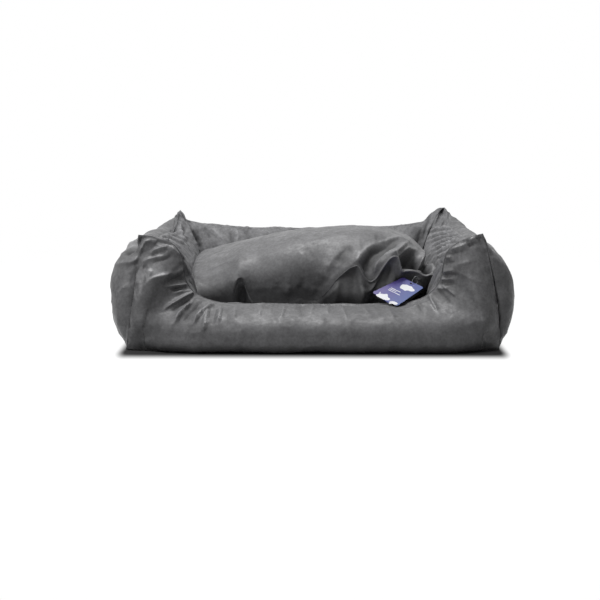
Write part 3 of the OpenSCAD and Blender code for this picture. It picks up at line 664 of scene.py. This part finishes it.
def skin(name, outside, columns, rows):
    """A panel's outer face with its folds, puckers and seams, its normals, and its painted highlight and
    shade.
    """
    half, turn = WALLS[name][0], WALLS[name][8]
    s = np.linspace(-1, 1, columns)
    if name != "front":
        s = lerp(s, np.sin(s * math.pi / 2), 0.4)
    k = 1 - (1 - np.linspace(0, 1, rows)) ** 1.25
    s, t = np.meshgrid(s, k if outside else 2 - k)
    p = wall_points(name, s, t)
    centre = beside(turn, 0, -BOLSTER_T / 2, MIDDLE_H)
    n = normals(p, centre)
    from_foot = run_length(p, 0)
    from_ridge = from_foot[-1:] - from_foot
    from_end = (1 - np.abs(s)) * half
    along_ridge = run_length(p, 1)[-1:] + 0 * s
    seed = 10 * list(WALLS).index(name) + (0 if outside else 5)
    d = relief(p, seed, *WALL_BUMPS) - 1.5
    d += CRUMPLE[0] * crease(p / CRUMPLE[1] + 0.4 * noise(p / 50, 3)[..., None], seed + 2)
    d += puckers(from_ridge, along_ridge, *RIDGE_PUCKERS, seed + 3)
    d += puckers(from_end, p[..., 2], *END_PUCKERS, seed + 4)
    d += puckers(from_foot, along_ridge, *FOOT_PUCKERS, seed + 6)
    d += relief(p, seed + 7, FINE_BUMPS)
    # Painted highlight along the ridge
    light_paint = RIDGE_HIGHLIGHT * bell(from_ridge, RIDGE_HIGHLIGHT_REACH)
    if outside:
        d += bell(from_ridge - 9, 6)
        if name == "front":
            swell = sum(height * bell(p[..., 2] - at, reach) for height, at, reach in FRONT_SWELLS)
            d += swell * (1 - np.abs(s) ** 8)
    else:
        fan = flat_noise(along_ridge / 13 + 0.03 * from_ridge, from_ridge / 120, seed + 8)
        fan = ((1 - np.abs(fan)) ** 3 - 0.3) * smooth(0, 20, from_ridge) * bell(from_ridge, 150)
        if name in ("left", "right"):
            d += SIDE_FAN * fan
            # Painted highlight on the fans' crests and painted shade in their creases
            light_paint += FAN_PAINT * fan
        else:
            d += OTHER_FAN * fan
    d *= smooth(0, 9, from_end) * smooth(0, 7, from_ridge) * smooth(0, 6, from_foot)
    front_left = ((name == "left") & (s > 0)) | ((name == "front") & (s < 0))
    groove = np.where(front_left, FLAT_GROOVE, SEAM_GROOVE) * bell(from_end, GROOVE_REACH)
    d -= groove * smooth(0, 12, from_ridge) * smooth(0, 12, from_foot)
    # Painted shade in the seams' grooves
    light_paint -= GROOVE_SHADE * groove
    uv = to_picture(p)
    raised = sum(stroke(uv, *fold) for fold in folds_of(name, outside))
    raised = raised * smooth(0, 5, from_ridge) * smooth(0, 6, from_end)
    d += raised
    # Painted highlight on the drawn folds' crests and painted shade in their creases
    light_paint += raised / FULL_PAINT_FOLD
    p = p + n * d[..., None]
    hem = HEM_H * bell(from_ridge, HEM_REACH)
    wave = bell(from_ridge, WAVE_REACH) * (1 - np.abs(s) ** 8)
    line = p[-1:]
    p = p + np.stack([0 * s, 0 * s, hem], -1)
    p = p + wave[..., None] * np.stack([relief(line, wave_seed, (height, size))
                                        for height, size, wave_seed in RIDGE_WAVES], -1)
    for at in EARS:
        away = np.linalg.norm(p - at, axis=-1, keepdims=True)
        p = p + EAR_SPREAD * bell(away, EAR_REACH) * (p - at) * [1, 1, 0]
    for at, size, move in EAR_PULLS:
        away = np.linalg.norm((p - at) * [1, 1, 0.8], axis=-1, keepdims=True)
        p = p + bell(away, size) * np.array(move, float)
    p[..., 2] = np.maximum(p[..., 2], FLOOR_Z)
    return p, normals(p, centre), light_paint


# Columns and rows of each wall's panels. The side walls' fine wrinkles need the closest ones
PANEL_GRIDS = {"front": (430, 104), "right": (420, 110), "back": (260, 70), "left": (420, 110)}
# How far along its wall the stuffing goes, as a share, and how far it shrinks to its middle
FILL_END, FILL_SHRINK = 0.95, 0.15
for wall, (columns, rows) in PANEL_GRIDS.items():
    columns, rows = int(columns * DETAIL), int(rows * DETAIL)
    for side, slot_name, finish in (("outer", "cover", cover), ("inner", "lining", lining)):
        face, n, light_paint = skin(wall, side == "outer", columns, rows)
        make_piece(f"{wall}_{side}_cloth", shell(face, face - n * CLOTH), finish, "basket",
                   [f"{wall}_{side}_panel"], light_paint)
    s, t = np.meshgrid(np.linspace(-FILL_END, FILL_END, 141), np.linspace(0, 2, 15))
    ring = wall_points(wall, s, t, FRONT_FILL_INSET if wall == "front" else FILL_INSET)
    ring[..., 2] = np.maximum(ring[..., 2], FLOOR_Z + 1)
    points = np.swapaxes(lerp(ring, ring.mean(axis=0, keepdims=True), FILL_SHRINK), 0, 1)
    fill = make_piece(f"{wall}_stuffing", (points.reshape(-1, 3), capped(*points.shape[:2])), fleece,
                      "basket", [f"{wall}_fill"])


# The layers of the floor
# The size of their bumps in mm
LAYER_BUMPS = 24


def patch(name, outline, low, high, finish, node, wave=0.4):
    """A flat layer between four edge curves, each a function of a share from -1 to 1."""
    g = np.linspace(-1, 1, 48)
    south, east, north, west = (edge(g) for edge in outline)
    u, v = np.meshgrid((g + 1) / 2, (g + 1) / 2)
    u, v = u[..., None], v[..., None]
    sides = lerp(south[None], north[None], v) + lerp(west[:, None], east[:, None], u)
    flat = sides - lerp(lerp(south[0], south[-1], u), lerp(north[0], north[-1], u), v)
    top = flat.copy()
    top[..., 2] = high - wave * (1 + noise(flat / LAYER_BUMPS, 91)) / 2
    flat[..., 2] = low
    return make_piece(name, shell(top, flat), finish, "basket", [node])


def foot_line(wall, turned):
    """A wall's outer floor seam, as an edge for patch()."""
    return lambda g: wall_points(wall, -g if turned else g, 0 * g)


def straight(a, b):
    """A straight edge for patch()."""
    return lambda g: lerp(a, b, ((g + 1) / 2)[:, None])


patch("underside_cloth", [foot_line("front", False), foot_line("right", False), foot_line("back", True),
                          foot_line("left", True)], 0, FLOOR_Z, under, "base_panel")
SW, SE, NE, NW = (np.array((x * WELL_HALF_W, y * WELL_HALF_D, 0)) for x, y in SQUARE)
WELL_EDGES = [straight(SW, SE), straight(SE, NE), straight(NW, NE), straight(SW, NW)]
wadding = patch("floor_wadding", WELL_EDGES, FLOOR_Z, WADDING_TOP, fleece, "base_wadding")
patch("floor_cloth", WELL_EDGES, WADDING_TOP, FLOOR_TOP, lining, "floor_panel", wave=0.15)

# The cushion
# The front seam's height in mm over the floor, against x in mm
SEAM = [
    (-295, 112), (-272, 88), (-240, 78), (-187, 72), (-184, 88), (-180, 108), (-175, 118), (-168, 121),
    (-161, 118), (-156, 108), (-152, 88), (-149, 73), (-60, 72), (-38, 78), (-28, 84), (-16, 76), (8, 74),
    (23, 85), (42, 110), (59, 135), (76, 152), (88, 162), (105, 168), (113, 156), (120, 141), (129, 130),
    (138, 127), (149, 136), (164, 163), (177, 183), (188, 190), (196, 189), (203, 180), (202, 160),
    (207, 152), (220, 155), (234, 155), (246, 150), (252, 141), (263, 146), (275, 142), (284, 152),
    (295, 158),
]
SEAM_X = np.linspace(-300, 300, 601)


def soften(x, y, width):
    """A line through the points x and y at every SEAM_X, rounded over the width."""
    raw = np.interp(SEAM_X, x, y)
    k = np.exp(-(np.arange(-60, 61) / width) ** 2)
    return np.convolve(np.pad(raw, 60, mode="edge"), k / k.sum(), "valid")


seam_xs = np.maximum.accumulate([x for x, _ in SEAM])
SEAM_Z = soften(seam_xs, [z for _, z in SEAM], 4.0)
SEAM_BROAD = soften(seam_xs, [z for _, z in SEAM], 26.0)
ARCH = smooth(120, 190, SEAM_Z)


def climb(v):
    """How far the rim has risen from the front seam to the zip, at the place v from front to back."""
    return 1 - ((1 - v) / 2) ** 3


# How far back the front's cloth lies where the seam is low, and the seam heights between which that ends
TUCK_UNDER, TUCK_SEAM = 31, (85, 150)
# How far back the front's middle lies, and how far forward its arches stand
FRONT_HOLLOW, ARCH_OUT = 8, 9
# How far the two ends are drawn in at their middle
LEFT_PULL, RIGHT_PULL = -3, 8
# How far the right front corner stands out
LOBE_OUT = 15


def cushion_plan(u, v, k):
    """The cushion's x and y at the shares u and v, which run from -1 to 1. k is 1 at the seam's level."""
    hx = PAD_W + PAD_SWELL * lerp(0.35, 1, climb(v)) * k
    hy = PAD_D + np.where(v < 0, PAD_FRONT, PAD_BACK) * k
    corner = 1 - 0.015 * np.abs(u * v) ** 8
    arch = np.interp(u * PAD_W, SEAM_X, ARCH)
    ripple = 1 + 0.4 * flat_noise(u * 7, 0 * u, 61)
    low_seam = 1 - np.interp(u * PAD_W, SEAM_X, smooth(*TUCK_SEAM, SEAM_BROAD))
    tucked = TUCK_UNDER * ripple * low_seam * np.sqrt(1 - u ** 4) * v ** 12
    drawn = (FRONT_HOLLOW * (1 - u * u) - ARCH_OUT * arch * (1 - u ** 8)) * v ** 4
    pulled = np.where(u < 0, LEFT_PULL, RIGHT_PULL) * (1 - v * v) * u ** 4
    lobe = LOBE_OUT * smooth(0.84, 0.97, u) * smooth(-0.55, -0.9, v)
    x = (u * hx - np.sign(u) * pulled) * corner + lobe
    return x, v * hy * corner + np.where(v < 0, drawn + tucked, 0)


def rim_at(u, v):
    """The height of the seam round the cushion."""
    x = u * (PAD_W + 10)
    seam = lerp(np.interp(x, SEAM_X, SEAM_BROAD), np.interp(x, SEAM_X, SEAM_Z), smooth(0.88, 1, -v))
    return lerp(seam, ZIP_H, climb(v))


def zip_gap(u, v):
    """How far the cloth stands open above and below the zip."""
    return ZIP_GAP * smooth(ZIP_REACH + 4, ZIP_REACH - 2, np.abs(u) * PAD_W) * smooth(0.9, 1, v)


# Folds of the cushion seen in the photograph, in the same form
CUSHION_FOLDS = [
    (5, 3, [(352, 268), (360, 256), (368, 248), (380, 242)]),
    (-13, 4.2, [(365, 277), (367, 264), (372, 253), (382, 246), (396, 240)], 0.3),
    (-7, 4, [(376, 256), (386, 249), (399, 242)]), (8, 3, [(373, 277), (378, 264), (388, 253), (398, 247)]),
    (9, 2, [(391, 257), (400, 250), (408, 242.5)], -0.5),
    (5, 1.5, [(376, 241), (387, 240), (398, 238.5), (408, 242)], -0.4), (-6, 4, [(388, 237), (374, 238)]),
    (5, 1.3, [(421, 248), (424, 257), (422.5, 269)], 0.4),
    (5, 1.4, [(401, 254), (408, 248.5), (416, 250.5), (422, 259)]),
    (5, 2, [(430, 261), (436.5, 265), (436, 273)]), (-7, 2.8, [(426, 258), (428.5, 264), (428.5, 273)]),
    (-7, 6, [(336, 266), (341, 254), (352, 244)]), (5, 5, [(326, 272), (334, 258), (346, 246)]),
    (4, 2.4, [(324, 295), (335, 280), (346, 269)], -0.4), (-6, 5, [(318, 290), (326, 276)]),
    (1.8, 3, [(298, 250), (306, 262), (310, 272)]), (-1.8, 3, [(304, 246), (314, 260)]),
    (-4, 3.5, [(296, 284), (303, 292), (307, 300)]), (3, 3, [(312, 297), (315, 286)]),
    (-3, 4, [(276, 292), (279, 282)]), (3, 4, [(287, 295), (289, 284)]), (2.5, 3, [(348, 296), (361, 292)]),
    (3, 1.2, [(372, 230), (390, 234), (405, 241), (417, 248)], 0.3),
]
# Deep hollows by the seam, as pit() takes them, and the depth in mm at which their painted shade is fullest
CUSHION_PITS = [(48, (411.5, 262), (10.2, 10.2)), (40, (426.5, 267), (4.8, 8.0))]
FULL_SHADE_PIT = 36
# How much of the crown's height is lost towards the ends, on the left also by the sag
CROWN_SINK, LEFT_SINK = 0.175, 0.325
# The greatest height of the dome's curve, which stands for CROWN_H
DOME_TOP = 0.867043


def cushion_top(u, v):
    """The cushion's upper face before its folds."""
    sink = np.where(u < 0, CROWN_SINK - LEFT_SINK * u, CROWN_SINK * (1 - u))
    dome = np.where(u < 0, (1 - u * u) ** 0.65, np.sqrt(1 - np.abs(u) ** 3)) * (1 - sink)
    dome = dome * np.where(v < 0, (1 - np.abs(v) ** 2.5) ** 0.6, np.sqrt(1 - v * v))
    rim = rim_at(u, v) + zip_gap(u, v)
    x, y = cushion_plan(u, v, 1)
    return np.stack([x, y, rim + dome / DOME_TOP * (CROWN_H - rim)], -1)


# The share of the cushion that lies flat on the floor panel
FLAT_SHARE = 0.7


def cushion_under(u, v):
    """The cushion's lower face: flat in the middle, and rising to the seam."""
    out = np.maximum(np.abs(u), np.abs(v))
    k = (np.maximum(0, out - FLAT_SHARE) / (1 - FLAT_SHARE)) ** 1.3
    safe = np.maximum(out, 1e-6)
    rim = rim_at(u / safe, v / safe)
    x, y = cushion_plan(u, v, k ** 3)
    return np.stack([x, y, PAD_LOW + (rim - PAD_LOW) * k - zip_gap(u, v)], -1)


def cushion_grid(columns, rows):
    """Shares over the cushion, closer together near its seams."""
    u = np.linspace(-1, 1, columns)
    v = np.sin(np.linspace(-1, 1, rows) * math.pi / 2)
    return np.meshgrid(lerp(u, np.sin(u * math.pi / 2), 0.5), v)


PAD_MID = np.array([0, 0, 110])
# Height and size of the cushion's soft bumps and of its finest ones, in mm
PAD_BUMPS, PAD_FINE = ((2.0, 110), (1.1, 40)), (0.3, 9)
PAD_PUCKERS = (2.2, 20, 13, 60)
# How dark the painted shade is behind the front bolster, and between which heights it darkens
NOOK_SHADE, NOOK_HEIGHTS = 0.9, (124, 90)


def nook_shade(height, v):
    """Painted shade low on the cushion's front, where it leans on the front bolster."""
    return NOOK_SHADE * smooth(*NOOK_HEIGHTS, height) * smooth(-0.5, -0.85, v)


def top_face(u, v):
    """The cushion's upper face with its folds and puckers, and its painted highlight and shade."""
    top = cushion_top(u, v)
    n = normals(top, PAD_MID)
    edge = np.minimum((1 - np.abs(u)) * PAD_W, (1 - np.abs(v)) * PAD_D * 1.4)
    d = relief(top, 41, *PAD_BUMPS) + 1.4 * crease(top / 70, 43) + relief(top, 44, PAD_FINE)
    d += puckers(edge, top[..., 0] + top[..., 1], *PAD_PUCKERS, 45)
    d *= smooth(0, 7, edge)
    uv = to_picture(top)
    # Painted shade low on the front, behind the front bolster
    light_paint = -nook_shade(top[..., 2], v)
    raised = sum(stroke(uv, *fold) for fold in CUSHION_FOLDS) * smooth(0, 6, edge) * smooth(0.3, -0.1, v)
    sunk = sum(pit(uv, *hollow) for hollow in CUSHION_PITS) * smooth(0, 6, edge)
    d += raised + sunk
    # Painted highlight on the folds' crests, and painted shade in their creases and in the hollows
    light_paint += raised / FULL_PAINT_FOLD + sunk / FULL_SHADE_PIT
    return top + n * d[..., None], light_paint


top, light_paint = top_face(*cushion_grid(int(230 * DETAIL), int(150 * DETAIL)))
make_piece("cushion_top_cloth", shell(top, top - normals(top, PAD_MID) * CLOTH), cover, "cushion",
           ["cushion_top_panel"], light_paint)

u, v = cushion_grid(int(190 * DETAIL), int(130 * DETAIL))
low = cushion_under(u, v)
out = np.maximum(np.abs(u), np.abs(v))
edge = (1 - out) * PAD_D
n = normals(low, PAD_MID)
wrinkle = relief(low, 51, (2.2, 60)) + 1.4 * crease(low / 40, 52) - 2.5 * bell(edge - 20, 14)
low = low + n * (wrinkle * smooth(0, 10, edge))[..., None]
# Under the seam's arches the stuffing pushes the lower cloth forward in upright folds, in shade
# How much painted shade darkens the cloth under the arches, and how much its pleats' crests are painted
# paler and their creases darker
ARCH_SHADE, PLEAT_SHADE = 0.6, 0.3
# Seam heights between which an arch grows, and how far its belly stands out, at what height and reach
ARCH_SEAM, BELLY, BELLY_AT, BELLY_REACH = (80, 150), 38, 94, 34
PLEAT_H, PLEAT_W, PLEAT_LENGTH = 7, 17, 120
# How far back the cloth lies under the left arch
LEFT_BACK = 20
under_arch = np.interp(low[..., 0], SEAM_X, smooth(*ARCH_SEAM, SEAM_Z))
under_arch *= smooth(0.6, 0.9, -v) * smooth(0, 8, edge)
right_half = smooth(0, 40, low[..., 0]) * smooth(205, 165, low[..., 0])
belly = BELLY * bell(low[..., 2] - BELLY_AT, BELLY_REACH) * right_half
belly -= LEFT_BACK * smooth(-100, -140, low[..., 0])
pleat = PLEAT_H * flat_noise(low[..., 0] / PLEAT_W, low[..., 2] / PLEAT_LENGTH, 57)
low[..., 1] -= under_arch * (belly + pleat)
# Painted shade under the arches and behind the front bolster, with painted highlight and shade on the pleats
light_paint = under_arch * (PLEAT_SHADE * pleat / FULL_PAINT_FOLD - ARCH_SHADE) - nook_shade(low[..., 2], v)
low[..., 2] = np.maximum(low[..., 2], PAD_LOW)
make_piece("cushion_under_cloth", shell(low, low - normals(low, PAD_MID) * CLOTH), cover, "cushion",
           ["cushion_bottom_panel"], light_paint)

u, v = cushion_grid(121, 81)
u, v = CORE_SHARE * u, CORE_SHARE * v
core_top, core_low = top_face(u, v)[0], cushion_under(u, v)
middle = (core_top + core_low) / 2
core = shell(lerp(middle, core_top, CORE_SHARE), lerp(middle, core_low, CORE_SHARE))
core = make_piece("cushion_stuffing", core, fleece, "cushion", ["cushion_fill"])

# The seam's turned edge, a thin welt all the way round except at the zip
WELT_R, FRONT_WELT_R = 0.8, 2.0
g = np.linspace(-1, 1, int(300 * DETAIL))
loop_u = np.concatenate([g, 0 * g + 1, -g, 0 * g - 1])
loop_v = np.concatenate([0 * g - 1, g, 0 * g + 1, -g])
x, y = cushion_plan(loop_u, loop_v, 1)
line = np.stack([x, y, rim_at(loop_u, loop_v)], -1)
keep = np.linalg.norm(line - np.roll(line, 1, 0), axis=1) > 0.4
open_at_zip = ~((loop_v > 0.999) & (np.abs(loop_u) * PAD_W < ZIP_REACH + 6))
line = line[keep & open_at_zip]
start = int(np.argmax(np.linalg.norm(line - np.roll(line, 1, 0), axis=1)))
line = np.roll(line, -start, 0)
thick = lerp(WELT_R, FRONT_WELT_R, smooth(85, 125, line[:, 0]) * (line[:, 1] < 0))
points, faces = tube(line, thick)
at_front = (points[:, 1] < -60) * 1.0
# Painted highlight along the welt's front right part, and painted shade low behind the front bolster
light_paint = 0.9 * at_front * smooth(20, 90, points[:, 0]) - nook_shade(points[:, 2], -at_front)
make_piece("cushion_seam_welt", (points, faces), cover, "cushion", (), light_paint)


# Zip, tab, loop and cards
# The weave's wave on the zip's tapes: its height, and radians for each mm along x and z
TAPE_WAVE, TAPE_X, TAPE_Z = 0.12, 2.1, 2.4


def box_mm(node):
    """The lowest and highest corners of a CAD node in mm."""
    return (np.array(corner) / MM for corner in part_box(node))


def woven_tape(name, node):
    """A woven tape in the box of its CAD node."""
    low, high = box_mm(node)
    x, z = np.meshgrid(np.linspace(low[0], high[0], 160), np.linspace(low[2], high[2], 8))
    wave = TAPE_WAVE * np.sin(x * TAPE_X) * np.sin(z * TAPE_Z)
    back = np.stack([x, high[1] - TAPE_WAVE + wave, z], -1)
    front = np.stack([x, low[1] + TAPE_WAVE + wave, z], -1)
    make_piece(name, shell(back, front), tape, "cushion", [node])


for side in ("upper", "lower"):
    woven_tape(f"zip_{side}_woven_tape", f"zip_{side}_tape")

# The webbing tab: its rounded end's radius, the eye's width, its thickness, and its weave
TAB_R, TAB_EYE, TAB_T = 6.0, 3.2, 1.6
TAB_WEAVE, TAB_WAVE, TAB_INSET = 0.08, 5, 0.1
low, high = box_mm("hanger_tab")
eye = np.array([(low[0] + high[0]) / 2, low[1] + TAB_R, (low[2] + high[2]) / 2])
a = np.linspace(0, 2 * math.pi, 72, endpoint=False)
rim = np.stack([np.cos(a), np.sin(a)], -1)
tall = (high[1] - eye[1]) / np.maximum(np.abs(rim[:, 1]), 1e-6)
wide = TAB_R / np.maximum(np.abs(rim[:, 0]), 1e-6)
outline = rim * np.where(rim[:, 1] > 0, np.minimum(tall, wide), TAB_R)[:, None]
k = np.linspace(0, 1, 9)[:, None, None]
flat = lerp(rim * TAB_EYE / 2, outline, k)
weave = TAB_WEAVE * np.sin(flat[..., 0] * TAB_WAVE) * np.sin(flat[..., 1] * TAB_WAVE)
lift = TAB_T / 2 - TAB_INSET
upper, lower = (np.concatenate([flat + eye[:2], (eye[2] + z + weave)[..., None]], -1) for z in (lift, -lift))
make_piece("hanger_tab_webbing", shell(upper, lower, wrap=True), tape, "cushion", ["hanger_tab"])

# The cards' frame, as in the CAD: their hole at its origin and their length down its y
CARD_TURN, CARD_ROLL, CARD_SLOPE = (math.radians(a) for a in (-43, 14, 19))
LOOP_R, HOLE_DROP = 12.0, 1.4
hung = bpy.data.objects.new("card_frame", None)
bpy.context.scene.collection.objects.link(hung)
hung.matrix_world = (Matrix.Translation(Vector(eye * MM)) @ Matrix.Rotation(CARD_TURN, 4, "Z")
                     @ Matrix.Rotation(CARD_ROLL, 4, "Y") @ Matrix.Rotation(CARD_SLOPE, 4, "X")
                     @ Matrix.Translation((0, -(2 * LOOP_R + HOLE_DROP) * MM, 0)))
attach(hung, "tag_cards")
card = card_material("violet_card", hung)

for node, finish in {"zip_upper_teeth": metal, "zip_lower_teeth": metal, "zip_end_stops": metal,
                     "zip_slider": metal, "zip_pull": metal, "tag_loop": clear,
                     "front_tag_card": card, "rear_tag_card": card}.items():
    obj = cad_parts[node]
    obj.data.materials.clear()
    obj.data.materials.append(finish)

# Camera, light and floor
scene = bpy.context.scene
camera = bpy.data.objects.new("camera", bpy.data.cameras.new("camera"))
scene.collection.objects.link(camera)
camera.location = Vector(CAM_AT * MM)
camera.rotation_euler = Euler((math.pi / 2 - CAM_PITCH, 0, CAM_YAW))
camera.data.lens = CAM_LENS
camera.data.sensor_width = SENSOR
camera.data.dof.use_dof = False
scene.camera = camera


def lamp(name, at, aim, size, power):
    """A soft rectangular lamp aimed at a point, in metres and watts."""
    data = bpy.data.lights.new(name, "AREA")
    data.shape = "RECTANGLE"
    data.size, data.size_y = size
    data.energy = power
    obj = bpy.data.objects.new(name, data)
    obj.location = at
    obj.rotation_euler = (Vector(aim) - Vector(at)).to_track_quat("-Z", "Y").to_euler()
    scene.collection.objects.link(obj)


lamp("top_light", (-0.15, 0.2, 2.0), (0, 0, 0.1), (0.9, 0.6), 28)
lamp("left_light", (-1.8, -1.5, 1.65), (-0.2, 0, 0.1), (0.8, 0.6), 24)

AMBIENT = 0.1
WHITE, FLOOR_GREY = (1, 1, 1, 1), (0.12, 0.12, 0.12, 1)
FLOOR_R = 3.0
# The floor fades out between these distances from its middle, in metres
FLOOR_FADE = {"From Min": 0.75, "From Max": 1.5}
# Off the basket's own contact shadow the floor glows a little, so that it stays white: half the size
# of the dark part in metres, the distance over which the glow grows, and how it is eased
GLOW_FROM, GLOW_OVER = (0.40, 0.330), (0.025, 0.055)
GLOW_EASE = {"From Min": 0.3, "From Max": 1.3}


def sees_background(tree):
    """1 for the rays that show the white background: from the camera, off gloss and through glass."""
    path = add_node(tree, "LightPath")
    seen = path.outputs["Is Camera Ray"]
    for kind in ("Is Glossy Ray", "Is Transmission Ray"):
        seen = link_math(tree, "MAXIMUM", seen, path.outputs[kind])
    return seen


world = bpy.data.worlds.new("studio")
scene.world = world
world.use_nodes = True
tree = world.node_tree
tree.nodes.clear()
ambient = add_node(tree, "Background", {"Color": WHITE, "Strength": AMBIENT})
white = add_node(tree, "Background", {"Color": WHITE})
mix = add_node(tree, "MixShader", {0: sees_background(tree), 1: ambient, 2: white})
add_node(tree, "OutputWorld", {"Surface": mix})

mesh = bpy.data.meshes.new("floor")
mesh.from_pydata([(x * FLOOR_R, y * FLOOR_R, 0) for x, y in SQUARE], [], [(0, 1, 2, 3)])
floor = bpy.data.objects.new("floor", mesh)
scene.collection.objects.link(floor)
floor_mat = new_material("floor_white")
mesh.materials.append(floor_mat)
tree = floor_mat.node_tree
tree.nodes.clear()
place = add_node(tree, "TexCoord").outputs["Object"]
fade = link_eased(tree, place, FLOOR_FADE)
beyond = link_vector(tree, "SUBTRACT", link_vector(tree, "ABSOLUTE", place), (*GLOW_FROM, 0))
beyond = link_vector(tree, "MAXIMUM", beyond, (0, 0, 0))
beyond = link_vector(tree, "DIVIDE", beyond, (*GLOW_OVER, 1))
glow = link_math(tree, "MULTIPLY", link_eased(tree, beyond, GLOW_EASE), sees_background(tree))
shine = add_node(tree, "Emission", {"Strength": glow})
diffuse = add_node(tree, "BsdfDiffuse", {"Color": FLOOR_GREY})
both = add_node(tree, "AddShader", {0: diffuse, 1: shine})
nothing = add_node(tree, "BsdfTransparent")
mix = add_node(tree, "MixShader", {0: fade, 1: both, 2: nothing})
add_node(tree, "OutputMaterial", {"Surface": mix})

scene.view_settings.view_transform = "Standard"
